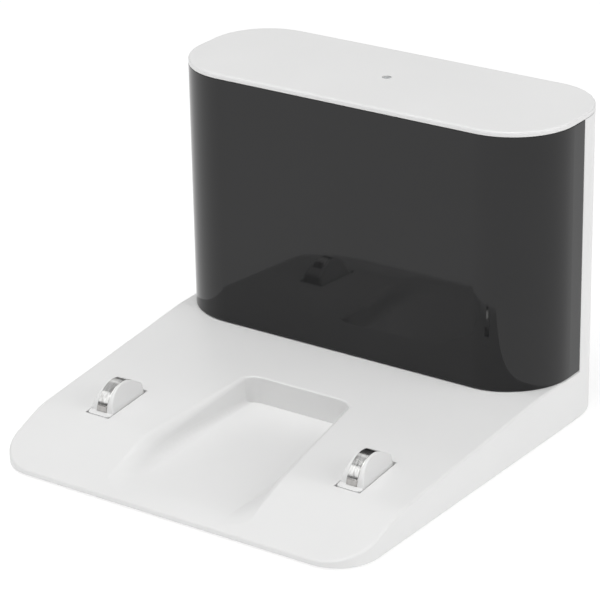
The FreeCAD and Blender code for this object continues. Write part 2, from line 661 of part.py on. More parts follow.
def contact_strip():
    """Right-hand plated strip, bent over the shoe and riveted through it to the spring's pad."""
    centre, radius = crown_circle()
    start = Vector(CONTACT_X - STRIP_HALF, centre.y, centre.z)
    across = Vector(1, 0, 0)
    outer = Part.makeCylinder(radius + STRIP_PROUD, 2 * STRIP_HALF, start, across)
    inner = Part.makeCylinder(radius + STRIP_PROUD - STRIP_THICK, 2 * STRIP_HALF, start, across)
    band = outer.cut(inner).cut(under_slope(1.0, SLOT_Y[0] - 9, SLOT_Y[1] + 9))
    rivet_top = centre.z + radius - 0.1
    rivet = rod((CONTACT_X, SPRING_Y, POCKET_TOP - 0.1), (CONTACT_X, SPRING_Y, rivet_top), RIVET_R)
    pad_low = POCKET_TOP - PAD_THICK
    pad = rod((CONTACT_X, SPRING_Y, pad_low), (CONTACT_X, SPRING_Y, POCKET_TOP), SPRING_R + 0.3)
    return fuse([band, rivet, pad])


def contact_spring():
    """Right-hand coil spring with closed ends, between the terminal and the strip's pad."""
    low = TERMINAL_TOP
    high = POCKET_TOP - PAD_THICK
    wire_r = SPRING_WIRE / 2
    pitch = (high - low - SPRING_WIRE) / SPRING_TURNS
    helix = Part.makeHelix(pitch, pitch * SPRING_TURNS, SPRING_R)
    section = Part.Wire(Part.makeCircle(wire_r, Vector(SPRING_R, 0, 0), Vector(0, 1, 0)))
    coil = Part.Wire(helix).makePipeShell([section], True, True)
    coil.translate(Vector(CONTACT_X, SPRING_Y, low + wire_r))
    return coil


def contact_holder():
    """Right-hand tray under the ramp that guides the shoe's flange."""
    middle = (SLOT_Y[0] + SLOT_Y[1]) / 2
    inner_x = SLOT_HALF - SHOE_GAP + 1.2 + SHOE_GAP
    inner_y = (SLOT_Y[1] - SLOT_Y[0]) / 2 - SHOE_GAP + 1.2 + SHOE_GAP
    outer = rectangle(CONTACT_X, middle, inner_x + TRAY_WALL, inner_y + TRAY_WALL, 2.0)
    tray = slab(outer, TRAY_FLOOR[0], 20)
    ears = slab(rectangle(CONTACT_X, middle, 3.2, 18.2, 3.19), 4.0, 5.6)
    tray = tray.common(under_slope(CEILING + 0.25, SLOT_Y[0] - 5, SLOT_Y[1] + 5))
    room = slab(rectangle(CONTACT_X, middle, inner_x, inner_y, 3.2), TRAY_FLOOR[1], 25)
    notch_y = (SPRING_Y + 2.9, SPRING_Y + 7.1)
    exit_notch = block((CONTACT_X, CONTACT_X + 12), notch_y, (TRAY_FLOOR[1], 6.2))
    drills = [rod((CONTACT_X, y, 3), (CONTACT_X, y, 6), 1.25) for y in tray_screw_ys()]
    ear_room = block((CONTACT_X - 4, CONTACT_X + 4), (middle - inner_y, middle + inner_y), (4.0, 5.6))
    return cut(fuse([tray, ears.cut(ear_room)]), [room, exit_notch] + drills)


def contact_terminal():
    """Right-hand brass terminal on the tray's floor, with a tab that comes out to the side."""
    base = slab(rectangle(CONTACT_X, SPRING_Y, 2.6, 2.6, 1.0), TRAY_FLOOR[1], TERMINAL_TOP)
    level = (TRAY_FLOOR[1], TERMINAL_TOP)
    arm = block((CONTACT_X - 2.0, CONTACT_X + 2.0), (SPRING_Y + 2, SPRING_Y + 6.9), level)
    tab = block((CONTACT_X, CONTACT_X + 10.5), (SPRING_Y + 3.1, SPRING_Y + 6.9), level)
    return fuse([base, arm, tab])


def holder_screws():
    """The four screws of the two contact trays."""
    screws = []
    for side in (-1, 1):
        for y in tray_screw_ys():
            screws.append(screw(side * CONTACT_X, y, 2.9, (0, 0, 1), 3.6, 2.1, 1.1, 0.95))
    return Part.makeCompound(screws)


def contact_lead():
    """Right-hand lead from the terminal's tab to the power board."""
    start_z = TERMINAL_TOP + LEAD_R
    end_x = CONTACT_X - 0.5
    return lead([(CONTACT_X + 9, SPRING_Y + 4, start_z), (CONTACT_X + 7.5, -4, 5.5), (CONTACT_X + 2.5, 43, 7),
                 (end_x, 44, CONTACT_LEAD_Z), (end_x, BOARD_Y[0], CONTACT_LEAD_Z)], LEAD_R)


# ================================================================ inside the base and the tower


def ballast_bar():
    """Steel bar that keeps the dock from sliding away."""
    bar = slab(rectangle(0, 11.5, 38, 7.5, 1.5), PLATE_TOP + 0.1, PLATE_TOP + 8.1)
    return cut(bar, [rod((side * 30, 11.5, 0), (side * 30, 11.5, 20), 2.5) for side in (-1, 1)])


def cord_tub():
    """Tub of the cord bay: front wall, rim against the shell and two winding posts."""
    outer_half = BAY_HALF + TUB_WALL
    low = BAY_Z[0] - TUB_WALL
    high = BAY_Z[1] + TUB_WALL
    body = panel(rect_xz(outer_half, low, high, 5.0), TUB_Y[0], TUB_RIM_Y - 0.1)
    rim = panel(rect_xz(46.0, low - 1.6, high + 3.4, 5.0), TUB_RIM_Y - 1.7, TUB_RIM_Y - 0.1)
    room = panel(rect_xz(BAY_HALF, BAY_Z[0], BAY_Z[1], 3.4), TUB_Y[1], BACK_Y)
    posts = []
    for side in (-1, 1):
        stem = post_outline(side * POST_X, POST_HALF, 0.0)
        core = post_outline(side * POST_X, POST_HALF - 1.6, 1.6)
        lip = post_outline(side * POST_X, POST_HALF, -1.6)
        stem_solid = panel(stem, TUB_Y[1] - 0.5, 65.6)
        lip_solid = panel(lip, 64.2, 65.6)
        posts.append(fuse([stem_solid, lip_solid]).cut(panel(core, TUB_Y[1], 66)))
    bosses = [rod((x, BOARD_Y[1], z), (x, TUB_Y[0] + 0.5, z), 2.6) for x, z in tub_bosses()]
    wings = []
    for x, z in tub_bosses():
        wings.append(block((x - 3.2, x + 3.2), TUB_Y, (z - 3.2, z + 3.2)))
    tub = fuse([body.cut(room), rim.cut(panel(rect_xz(BAY_HALF, BAY_Z[0], BAY_Z[1], 3.4), 60, BACK_Y))]
               + posts + bosses + wings)
    drills = [rod((x, BOARD_Y[0], z), (x, TUB_Y[1] - 0.3, z), 0.9) for x, z in tub_bosses()]
    for z in (INLET_Z - PIN_PITCH / 2, INLET_Z + PIN_PITCH / 2):
        drills.append(rod((BAY_HALF - 1, INLET_Y, z), (BAY_HALF + 3, INLET_Y, z), PIN_R + 0.2))
    for x, z in tub_screw_places():
        drills.append(rod((x, TUB_RIM_Y - 3, z), (x, BACK_Y, z), 1.1))
    return cut(tub, drills)


def tub_bosses():
    """Places (x, z) where the power board is screwed to the tub."""
    return BOARD_SCREWS


def tub_screw_places():
    """Places (x, z) of the screws through the tub's rim."""
    return [(-30.0, 88.3), (30.0, 88.3), (-44.4, 30.0), (-44.4, 66.0), (44.4, 66.0)]


def rect_xz(half, low, high, radius):
    """Corners of an upright rounded rectangle about the middle plane."""
    return [(-half, low, radius), (half, low, radius), (half, high, radius), (-half, high, radius)]


def post_outline(x, half, shrink):
    """Corners of a winding post's oval, shorter by the shrink at each end."""
    radius = half - 0.01
    low = POST_Z[0] + shrink
    high = POST_Z[1] - shrink
    return [(x - half, low, radius), (x + half, low, radius),
            (x + half, high, radius), (x - half, high, radius)]


def tub_screws():
    """Screws through the tub's rim into the shell's back wall."""
    screws = []
    for x, z in tub_screw_places():
        screws.append(screw(x, TUB_RIM_Y - 2.7, z, (0, 1, 0), 2.9, 1.6, 1.0, 0.8))
    return Part.makeCompound(screws)


def mains_inlet():
    """Two-pole appliance inlet; its socket opens sideways into the cord bay."""
    body = block(INLET_X, (INLET_Y - INLET_HALF_Y, INLET_Y + INLET_HALF_Y),
                 (INLET_Z - INLET_HALF_Z, INLET_Z + INLET_HALF_Z))
    edges = [edge for edge in body.Edges if edge.BoundBox.XLength > 1]
    body = body.makeFillet(1.5, edges)
    socket_wire = wire_of([(Vector(INLET_X[0] - 1, INLET_Y + y, INLET_Z + z), SOCKET_HALF_Y - 0.05)
                           for y, z in ((-SOCKET_HALF_Y, -SOCKET_HALF_Z), (SOCKET_HALF_Y, -SOCKET_HALF_Z),
                                        (SOCKET_HALF_Y, SOCKET_HALF_Z), (-SOCKET_HALF_Y, SOCKET_HALF_Z))])
    socket = Part.Face(socket_wire).extrude(Vector(SOCKET_DEPTH + 1, 0, 0))
    bores = [rod((INLET_X[0], INLET_Y, z), (INLET_X[1] + 1, INLET_Y, z), PIN_R) for z in pin_levels()]
    return cut(body, [socket] + bores)


def pin_levels():
    """Heights of the inlet's two pins."""
    return [INLET_Z - PIN_PITCH / 2, INLET_Z + PIN_PITCH / 2]


def inlet_pins():
    """The two round pins of the inlet."""
    pins = []
    for z in pin_levels():
        pin = rod((PIN_X[0], INLET_Y, z), (PIN_X[1], INLET_Y, z), PIN_R)
        tip = [edge for edge in pin.Edges if edge.BoundBox.XMax < PIN_X[0] + 0.1]
        pins.append(pin.makeFillet(0.5, tip))
    return Part.makeCompound(pins)


def mains_leads():
    """The two leads from the inlet's pins to the power board."""
    leads = []
    for z, board_z in zip(pin_levels(), (42.0, 47.0)):
        leads.append(lead([(PIN_X[1], INLET_Y, z), (54.5, INLET_Y, z), (54.5, 45.0, board_z),
                           (46.0, 45.0, board_z), (46.0, BOARD_Y[0], board_z)], LEAD_R))
    return Part.makeCompound(leads)


def power_board():
    """Printed board of the mains supply."""
    board = panel([(-BOARD_HALF, BOARD_Z[0], 1.5), (BOARD_HALF, BOARD_Z[0], 1.5),
                   (BOARD_HALF, BOARD_Z[1], 1.5), (-BOARD_HALF, BOARD_Z[1], 1.5)], BOARD_Y[0], BOARD_Y[1])
    return cut(board, [rod((x, 49, z), (x, 52, z), 1.3) for x, z in BOARD_SCREWS])


def board_screws():
    """Screws of the power board."""
    return Part.makeCompound([screw(x, BOARD_Y[0] - 1.1, z, (0, 1, 0), 4.0, 2.1, 1.1, 0.9)
                              for x, z in BOARD_SCREWS])


def transformer_core():
    """Ferrite core round the transformer's coil."""
    frame = block((-11, 11), (CORE_Y - 2.8, CORE_Y + 2.8), CORE_Z)
    windows = [block(x, (CORE_Y - 4, CORE_Y + 4), (60, 73)) for x in ((-7.8, -3.0), (3.0, 7.8))]
    return cut(frame, windows)


def transformer_winding():
    """Taped coil on its bobbin, on the core's middle leg."""
    coil = panel([(-7.4, 61.2, 1.5), (7.4, 61.2, 1.5), (7.4, 71.8, 1.5), (-7.4, 71.8, 1.5)],
                 CORE_Y - 5.8, CORE_Y + 5.8)
    leg = block((-3.1, 3.1), (CORE_Y - 2.9, CORE_Y + 2.9), (55, 78))
    foot = block((-10.5, 10.5), (CORE_Y + 5.6, PART_FACE_Y), (60.4, 72.6))
    return cut(fuse([coil, foot]), [leg])


def radial_can(x, z, radius, height):
    """Electrolytic capacitor standing out from the board, with the rolled groove near its foot."""
    top = PART_FACE_Y - height
    can = rod((x, PART_FACE_Y, z), (x, top, z), radius)
    rims = [edge for edge in can.Edges if edge.BoundBox.YMax < top + 0.1]
    can = can.makeFillet(0.5, rims)
    groove = Part.makeTorus(radius + CAP_ROLL / 2, CAP_ROLL, Vector(x, PART_FACE_Y - 1.8, z), Vector(0, 1, 0))
    return cut(can, [groove])


def bulk_capacitor():
    """Mains-side capacitor."""
    return radial_can(*BULK_CAN)


def output_capacitors():
    """The two output-side capacitors."""
    return Part.makeCompound([radial_can(*can) for can in OUTPUT_CANS])


def line_choke():
    """Common-mode choke: two windings on a bobbin with end cheeks."""
    axis_y = PART_FACE_Y - 5.4
    cheeks = [block((x, x + 1.2), (PART_FACE_Y - 11, PART_FACE_Y), (50, 60)) for x in (19.0, 25.4, 31.8)]
    coils = [rod((x, axis_y, 55), (x + 5.6, axis_y, 55), 4.4) for x in (19.9, 26.3)]
    return fuse(cheeks + coils)


def fuse_link():
    """Slow fuse in its round case."""
    return rod((39.5, PART_FACE_Y, 64.0), (39.5, PART_FACE_Y - 8, 64.0), 3.2)


def bridge_rectifier():
    """Bridge rectifier on four legs."""
    body = block((16, 22.6), (PART_FACE_Y - 4.2, PART_FACE_Y - 0.8), (41.5, 46.5))
    legs = []
    for x in (17.0, 21.6):
        for z in (42.5, 45.5):
            legs.append(rod((x, PART_FACE_Y - 1, z), (x, PART_FACE_Y, z), 0.4))
    return fuse([body] + legs)


def power_switch():
    """Eight-leg switching chip."""
    body = block((-2, 7.6), (PART_FACE_Y - 4.0, PART_FACE_Y - 0.6), (44.0, 50.4))
    legs = []
    for index in range(4):
        x = -1.2 + CHIP_PITCH * index
        for z in (43.2, 50.4):
            legs.append(block((x, x + 0.5), (PART_FACE_Y - 2.2, PART_FACE_Y), (z, z + 0.8)))
    return fuse([body] + legs)


def heat_sink():
    """Folded aluminium plate with the output diode bolted to it."""
    tip = PART_FACE_Y - 12.5
    plate = block((-29, -15), (tip, PART_FACE_Y), (50.0, 51.5))
    fins = [block((x, x + 1.0), (tip, PART_FACE_Y - 1), (50.0, 56.5)) for x in (-29.0, -24.6, -20.2, -16.0)]
    return fuse([plate] + fins)


def beacon_bracket():
    """Bracket of the homing beacon: plate, tunnels round the emitters, and two legs."""
    plate = panel(rect_xz(42, 38, 58, 3), *BEACON_PLATE_Y)
    tunnels = []
    bores = []
    for x in EMITTER_X:
        tunnels.append(rod((x, TOWER_Y + WINDOW_WALL + 1.2, BEACON_Z),
                           (x, BEACON_PLATE_Y[0] + 0.5, BEACON_Z), 4.4))
        bores.append(rod((x, TOWER_Y, BEACON_Z), (x, BEACON_PLATE_Y[1] + 1, BEACON_Z), EMITTER_R + 0.3))
    legs = []
    for side in (-1, 1):
        x = side * BRACKET_SCREW[0]
        legs.append(block((x - 3, x + 3), BEACON_PLATE_Y, (PLATE_TOP + 0.1, 40)))
        legs.append(slab(rectangle(x, BRACKET_SCREW[1], 4, 4, 1.5), PLATE_TOP + 0.1, 9.0))
        legs.append(rod((side * BEACON_SCREW_X, BEACON_PLATE_Y[1] - 0.5, BEACON_Z),
                        (side * BEACON_SCREW_X, BEACON_BOARD_Y[0], BEACON_Z), 2.4))
        bores.append(rod((x, BRACKET_SCREW[1], 0), (x, BRACKET_SCREW[1], 8.2), 1.25))
        screw_x = side * BEACON_SCREW_X
        bores.append(rod((screw_x, BEACON_PLATE_Y[0] + 0.3, BEACON_Z), (screw_x, 34, BEACON_Z), 0.8))
    return cut(fuse([plate] + tunnels + legs), bores)


def beacon_board():
    """Printed board that carries the infra-red emitters."""
    board = panel(rect_xz(41, 40, 56, 1), *BEACON_BOARD_Y)
    screw_xs = (-BEACON_SCREW_X, BEACON_SCREW_X)
    return cut(board, [rod((x, 33, BEACON_Z), (x, 36, BEACON_Z), 1.1) for x in screw_xs])


def beacon_screws():
    """The beacon board's two screws."""
    return Part.makeCompound([screw(side * BEACON_SCREW_X, BEACON_BOARD_Y[1] + 0.9, BEACON_Z, (0, -1, 0),
                                    4.2, 1.7, 0.9, 0.8) for side in (-1, 1)])


def ir_emitters():
    """Infra-red emitters: round body, domed nose and rim."""
    emitters = []
    for x in EMITTER_X:
        tip = TOWER_Y + WINDOW_WALL + 1.6
        body = rod((x, BEACON_BOARD_Y[0] - 1, BEACON_Z), (x, tip + EMITTER_R, BEACON_Z), EMITTER_R)
        nose = Part.makeSphere(EMITTER_R, Vector(x, tip + EMITTER_R, BEACON_Z))
        rim = rod((x, BEACON_BOARD_Y[0], BEACON_Z), (x, BEACON_BOARD_Y[0] - 1.1, BEACON_Z), EMITTER_R + 0.4)
        emitters.append(fuse([body, nose, rim]))
    return Part.makeCompound(emitters)


def beacon_lead():
    """Lead from the beacon board to the power board."""
    return lead([(-12, BEACON_BOARD_Y[1], 43), (-12, 42.5, 43), (-22, 42.5, 43), (-22, PART_FACE_Y, 43)], 1.1)


def status_led():
    """Status lamp on the power board's top edge, on bent legs, under the light guide."""
    body = rod((0, PINHOLE_Y, LED_Z), (0, PINHOLE_Y, LED_Z + 3.5), 1.5)
    nose = Part.makeSphere(1.5, Vector(0, PINHOLE_Y, LED_Z + 3.5))
    rim = rod((0, PINHOLE_Y, LED_Z - 0.5), (0, PINHOLE_Y, LED_Z + 0.5), 1.9)
    legs = []
    for x in (-1.1, 0.7):
        legs.append(block((x, x + 0.4), (PINHOLE_Y - 0.2, PINHOLE_Y + 0.2), (LED_Z - 3, LED_Z)))
        legs.append(block((x, x + 0.4), (PINHOLE_Y - 0.2, PART_FACE_Y), (LED_Z - 3.2, LED_Z - 2.8)))
    return fuse([body, nose, rim] + legs)


def light_guide():
    """Clear rod that carries the status light up to the pin hole."""
    guide = rod((0, PINHOLE_Y, GUIDE_Z), (0, PINHOLE_Y, HEIGHT - 0.35), PINHOLE_R - 0.05)
    flange = rod((0, PINHOLE_Y, GUIDE_Z), (0, PINHOLE_Y, CAP_Z - 4), 2.4)
    return fuse([guide, flange])


# ================================================================ export


def nodes():
    """Every node of the dock by name."""
    parts = {
        "body_shell": body_shell(),
        "bottom_plate": bottom_plate(),
        "rubber_feet": rubber_feet(),
        "bottom_screws": bottom_screws(),
        "window_cover": window_cover(),
        "top_cap": top_cap(),
        "back_cover": back_cover(),
        "holder_screws": holder_screws(),
        "ballast_bar": ballast_bar(),
        "cord_tub": cord_tub(),
        "tub_screws": tub_screws(),
        "mains_inlet": mains_inlet(),
        "inlet_pins": inlet_pins(),
        "mains_leads": mains_leads(),
        "power_board": power_board(),
        "board_screws": board_screws(),
        "transformer_core": transformer_core(),
        "transformer_winding": transformer_winding(),
        "bulk_capacitor": bulk_capacitor(),
        "output_capacitors": output_capacitors(),
        "line_choke": line_choke(),
        "fuse": fuse_link(),
        "bridge_rectifier": bridge_rectifier(),
        "power_switch": power_switch(),
        "heat_sink": heat_sink(),
        "beacon_bracket": beacon_bracket(),
        "beacon_board": beacon_board(),
        "beacon_screws": beacon_screws(),
        "ir_emitters": ir_emitters(),
        "beacon_lead": beacon_lead(),
        "status_led": status_led(),
        "light_guide": light_guide(),
    }
    paired = {
        "contact_shoe": contact_shoe(),
        "contact_strip": contact_strip(),
        "contact_spring": contact_spring(),
        "contact_holder": contact_holder(),
        "contact_terminal": contact_terminal(),
        "contact_lead": contact_lead(),
    }
    for name, shape in paired.items():
        parts[name + "_right"] = shape
        parts[name + "_left"] = mirrored(shape)
    return parts


os.makedirs("parts", exist_ok=True)
for name, shape in nodes().items():
    print(name, len(shape.Solids), shape.isValid(), round(shape.Volume, 1))
    shape.exportStep(os.path.join("parts", name + ".step"))
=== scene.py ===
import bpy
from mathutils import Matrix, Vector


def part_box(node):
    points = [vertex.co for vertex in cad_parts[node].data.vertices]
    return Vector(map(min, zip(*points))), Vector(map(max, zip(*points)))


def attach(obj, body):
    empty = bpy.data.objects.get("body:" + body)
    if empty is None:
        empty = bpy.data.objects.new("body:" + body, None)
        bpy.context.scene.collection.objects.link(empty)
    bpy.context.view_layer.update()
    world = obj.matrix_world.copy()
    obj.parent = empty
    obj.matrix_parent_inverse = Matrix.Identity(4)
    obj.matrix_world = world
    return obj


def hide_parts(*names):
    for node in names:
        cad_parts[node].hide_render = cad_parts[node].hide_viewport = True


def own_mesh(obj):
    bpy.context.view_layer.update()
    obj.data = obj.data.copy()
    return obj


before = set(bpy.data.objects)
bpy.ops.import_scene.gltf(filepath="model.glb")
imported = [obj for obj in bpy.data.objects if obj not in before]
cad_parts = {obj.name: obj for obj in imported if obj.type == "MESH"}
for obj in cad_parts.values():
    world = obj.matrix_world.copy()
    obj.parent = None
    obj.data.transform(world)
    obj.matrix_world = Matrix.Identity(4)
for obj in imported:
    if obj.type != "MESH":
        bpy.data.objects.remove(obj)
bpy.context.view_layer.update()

"""Looks of a robot vacuum's charging dock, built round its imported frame.

Lengths are in metres, except where a docstring says millimetres.
"""

import logging
import math
from collections.abc import Callable
from dataclasses import dataclass
from enum import Enum

import bmesh
import bpy
from mathutils import Matrix, Vector

LOG = logging.getLogger("dock")
MM = 0.001
FINISH_ENDING = "_finish"
MERGE_DISTANCE = 0.001 * MM
LEVEL = 0.01 * MM
NEAR = 0.1 * MM
FLAT_SMOOTHING = 35.0
ROUND_SMOOTHING = 50.0
FACING = 0.9
FACING_EXACTLY = 0.99
WAVE_LENGTH = math.tau / 20.0
BLACK = (0.0, 0.0, 0.0, 1.0)
WHITE = (1.0, 1.0, 1.0, 1.0)
NODES: dict[str, bpy.types.Object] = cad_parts

Colour = tuple[float, float, float]
Socket = bpy.types.NodeSocket
Test = Callable[[Vector, Vector], bool]


def outward(azimuth: float, elevation: float) -> Vector:
    """Unit vector from the dock at two angles in radians; azimuth 0 is the front, 90 degrees is +X."""
    return Vector((math.sin(azimuth) * math.cos(elevation), -math.cos(azimuth) * math.cos(elevation),
                   math.sin(elevation)))


class Body(Enum):
    """Bodies of the frame that pieces ride on."""

    DOCK = "dock"
    LEFT = "contact_left"
    RIGHT = "contact_right"
    COVER = "bay_cover"


class Axis(Enum):
    """Directions of the row frame, with the number of the coordinate."""

    X = 0
    Y = 1
    Z = 2


# -------- building materials


class Graph:
    """Short-hand for building one material's node tree."""

    def __init__(self, name: str, rounding: float = 0.0) -> None:
        """Starts a tree with an output and a principled shader.

        Args:
            name: Name of the material.
            rounding: Radius in metres with which sharp edges catch the light; none if zero.
        """
        self.material = bpy.data.materials.new(name + FINISH_ENDING)
        self.material.use_nodes = True
        self.tree = self.material.node_tree
        self.tree.nodes.clear()
        self.output = self.add("ShaderNodeOutputMaterial")
        self.shader = self.add("ShaderNodeBsdfPrincipled")
        self.link(self.shader.outputs[0], self.output.inputs["Surface"])
        self.coords = self.add("ShaderNodeTexCoord").outputs["Object"]
        self.soft_normal = None
        if rounding > 0:
            edge = self.add("ShaderNodeBevel")
            edge.samples = 6
            edge.inputs["Radius"].default_value = rounding
            self.soft_normal = edge.outputs["Normal"]
            self.link(self.soft_normal, self.shader.inputs["Normal"])

    def add(self, kind: str) -> bpy.types.Node:
        """Adds a node of that kind."""
        return self.tree.nodes.new(kind)

    def link(self, source: Socket, target: Socket) -> None:
        """Joins two sockets."""
        self.tree.links.new(source, target)

    def mapped(self, scale: Colour, turn: Colour = (0.0, 0.0, 0.0)) -> Socket:
        """Object coordinates stretched and turned.

        Args:
            scale: Factors along X, Y and Z.
            turn: Angles about X, Y and Z in radians.

        Returns:
            The vector socket.
        """
        node = self.add("ShaderNodeMapping")
        node.inputs["Scale"].default_value = scale
        node.inputs["Rotation"].default_value = turn
        self.link(self.coords, node.inputs["Vector"])
        return node.outputs["Vector"]

    def noise(self, scale: float, detail: float = 3.0, vector: Socket | None = None) -> Socket:
        """Cloudy pattern.

        Args:
            scale: Cells per metre.
            detail: Octaves.
            vector: Where it is read; plain object coordinates if left out.

        Returns:
            The factor socket.
        """
        node = self.add("ShaderNodeTexNoise")
        node.inputs["Scale"].default_value = scale
        node.inputs["Detail"].default_value = detail
        self.link(vector or self.coords, node.inputs["Vector"])
        return node.outputs["Fac"]

    def grains(self, scale: float) -> Socket:
        """Distances inside a cell pattern.

        Args:
            scale: Cells per metre.

        Returns:
            The distance socket.
        """
        node = self.add("ShaderNodeTexVoronoi")
        node.inputs["Scale"].default_value = scale
        self.link(self.coords, node.inputs["Vector"])
        return node.outputs["Distance"]

    def bands(self, axis: Axis, pitch: float, wobble: float = 0.0) -> Socket:
        """Even bands across an axis.

        Args:
            axis: Direction in which they follow each other.
            pitch: Distance between two bands in metres.
            wobble: How much they stray.

        Returns:
            The factor socket.
        """
        node = self.add("ShaderNodeTexWave")
        node.bands_direction = axis.name
        node.inputs["Scale"].default_value = WAVE_LENGTH / pitch
        node.inputs["Distortion"].default_value = wobble
        node.inputs["Detail"].default_value = 1.0
        self.link(self.coords, node.inputs["Vector"])
        return node.outputs["Fac"]

    def along(self, axis: Axis, start: float, end: float) -> Socket:
        """A factor that rises from 0 to 1 between two places on an axis.

        Args:
            axis: The axis.
            start: Where it is 0, in metres.
            end: Where it is 1.

        Returns:
            The factor socket.
        """
        split = self.add("ShaderNodeSeparateXYZ")
        self.link(self.coords, split.inputs[0])
        return self.spread(split.outputs[axis.value], 0.0, 1.0, start, end)

    def ramp(self, factor: Socket, low: Colour, high: Colour, start: float = 0.3, end: float = 0.7) -> Socket:
        """Passes from one colour to another.

        Args:
            factor: What drives it.
            low: Colour at the start.
            high: Colour at the end.
            start: Factor where the change starts.
            end: Factor where it ends.

        Returns:
            The colour socket.
        """
        node = self.add("ShaderNodeValToRGB")
        stops = node.color_ramp.elements
        stops[0].position, stops[1].position = start, end
        stops[0].color, stops[1].color = (*low, 1.0), (*high, 1.0)
        self.link(factor, node.inputs["Fac"])
        return node.outputs["Color"]

    def spread(self, factor: Socket, low: float, high: float, start: float = 0.3, end: float = 0.7) -> Socket:
        """Maps a range of a factor to a range of values.

        Args:
            factor: What drives it.
            low: Value at the start.
            high: Value at the end.
            start: Factor where the change starts.
            end: Factor where it ends.

        Returns:
            The value socket.
        """
        node = self.add("ShaderNodeMapRange")
        for key, value in (("From Min", start), ("From Max", end), ("To Min", low), ("To Max", high)):
            node.inputs[key].default_value = value
        self.link(factor, node.inputs["Value"])
        return node.outputs["Result"]

    def blend(self, factor: Socket, first: Socket, second: Colour | Socket) -> Socket:
        """Lays a second colour over a first.

        Args:
            factor: Share of the second colour.
            first: The colour below.
            second: The colour above, plain or patterned.

        Returns:
            The colour socket.
        """
        node = self.add("ShaderNodeMix")
        node.data_type = "RGBA"
        self.link(factor, node.inputs[0])
        self.link(first, node.inputs[6])
        if isinstance(second, tuple):
            node.inputs[7].default_value = (*second, 1.0)
        else:
            self.link(second, node.inputs[7])
        return node.outputs[2]

    def product(self, first: Socket, second: Socket) -> Socket:
        """Multiplies two factors."""
        node = self.add("ShaderNodeMath")
        node.operation = "MULTIPLY"
        self.link(first, node.inputs[0])
        self.link(second, node.inputs[1])
        return node.outputs[0]

    def edges(self) -> Socket:
        """A factor that is 0 on faces and 1 along sharp edges, where the soft normal leaves the true one."""
        geometry = self.add("ShaderNodeNewGeometry")
        dot = self.add("ShaderNodeVectorMath")
        dot.operation = "DOT_PRODUCT"
        self.link(self.soft_normal, dot.inputs[0])
        self.link(geometry.outputs["Normal"], dot.inputs[1])
        return self.spread(dot.outputs["Value"], low=1.0, high=0.0, start=0.90, end=0.995)

    def colour(self, source: Socket) -> None:
        """Feeds the shader's base colour."""
        self.link(source, self.shader.inputs["Base Color"])

    def rough(self, source: Socket) -> None:
        """Feeds the shader's roughness."""
        self.link(source, self.shader.inputs["Roughness"])

    def bump(self, height: Socket, strength: float, distance: float) -> None:
        """Adds relief to what the shader's normal already has.

        Args:
            height: Height factor.
            strength: Strength of the relief.
            distance: Height in metres that a factor of 1 stands for.
        """
        node = self.add("ShaderNodeBump")
        node.inputs["Strength"].default_value = strength
        node.inputs["Distance"].default_value = distance
        self.link(height, node.inputs["Height"])
        before = self.shader.inputs["Normal"].links
        if before:
            self.link(before[0].from_socket, node.inputs["Normal"])
        self.link(node.outputs["Normal"], self.shader.inputs["Normal"])

    def set(self, **values: float | tuple) -> None:
        """Sets constant shader sockets; underscores stand for spaces."""
        for key, value in values.items():
            self.shader.inputs[key.replace("_", " ")].default_value = value


@dataclass(frozen=True)
class Finish:
    """A finish of the record, named for its material slot."""

    slot: str

    def make(self) -> bpy.types.Material:
        """Builds the material; every kind of finish has its own."""
        raise NotImplementedError

    def material(self) -> bpy.types.Material:
        """The finish's one material, built the first time it is asked for."""
        return bpy.data.materials.get(self.slot + FINISH_ENDING) or self.make()

    def dress(self, *names: str) -> None:
        """Gives the finish to nodes of the frame."""
        for name in names:
            surface = NODES[name].data.materials
            surface.clear()
            surface.append(self.material())


@dataclass(frozen=True)
class MouldedPlastic(Finish):
    """Injection-moulded plastic: spark texture, faint sink marks, handling haze, and sharp edges painted
    lighter, partly as rubbed wear and partly as a painted edge highlight.

    The two heights and the rounding are in millimetres.
    """

    tint: Colour
    roughness: float
    grain: float = 2400.0
    grain_height: float = 0.010
    sink_height: float = 0.20
    rounding: float = 0.35
    # How much lighter sharp edges are painted: partly rubbed wear, partly a painted highlight.
    rub_and_highlight: float = 0.04

    def make(self) -> bpy.types.Material:
        """Builds the material."""
        graph = Graph(self.slot, self.rounding * MM)
        shade = tuple(channel * 0.975 for channel in self.tint)
        # Lighter colour for sharp edges: partly rubbed wear, partly a painted highlight along the edges.
        rubbed_and_highlit = tuple(min(channel + self.rub_and_highlight, 0.9) for channel in self.tint)
        cloud = graph.ramp(graph.noise(16.0, 5.0), shade, self.tint, 0.35, 0.6)
        worn = graph.product(graph.edges(), graph.spread(graph.noise(240.0, 4.0), 0.2, 1.0))
        graph.colour(graph.blend(worn, cloud, rubbed_and_highlit))
        graph.rough(graph.spread(graph.noise(42.0, 5.0), self.roughness - 0.03, self.roughness + 0.05))
        graph.bump(graph.noise(self.grain, 2.0), strength=0.22, distance=self.grain_height * MM)
        graph.bump(graph.noise(24.0, 1.0), strength=0.10, distance=self.sink_height * MM)
        return graph.material


@dataclass(frozen=True)
class DarkWindow(Finish):
    """Polished infra-red window: near-black, barely wavy, with a trace of wiping haze."""

    tint: Colour
    roughness: float

    def make(self) -> bpy.types.Material:
        """Builds the material."""
        graph = Graph(self.slot, 0.25 * MM)
        deep = tuple(channel * 0.7 for channel in self.tint)
        graph.colour(graph.ramp(graph.noise(30.0, 3.0), deep, self.tint))
        wipes = graph.noise(1.0, 6.0, graph.mapped((12.0, 12.0, 55.0)))
        graph.rough(graph.spread(wipes, self.roughness * 0.7, self.roughness * 1.5))
        graph.bump(graph.noise(26.0, 1.0), strength=0.05, distance=0.25 * MM)
        graph.bump(graph.noise(900.0, 2.0), strength=0.03, distance=0.004 * MM)
        graph.set(IOR=1.46)
        return graph.material


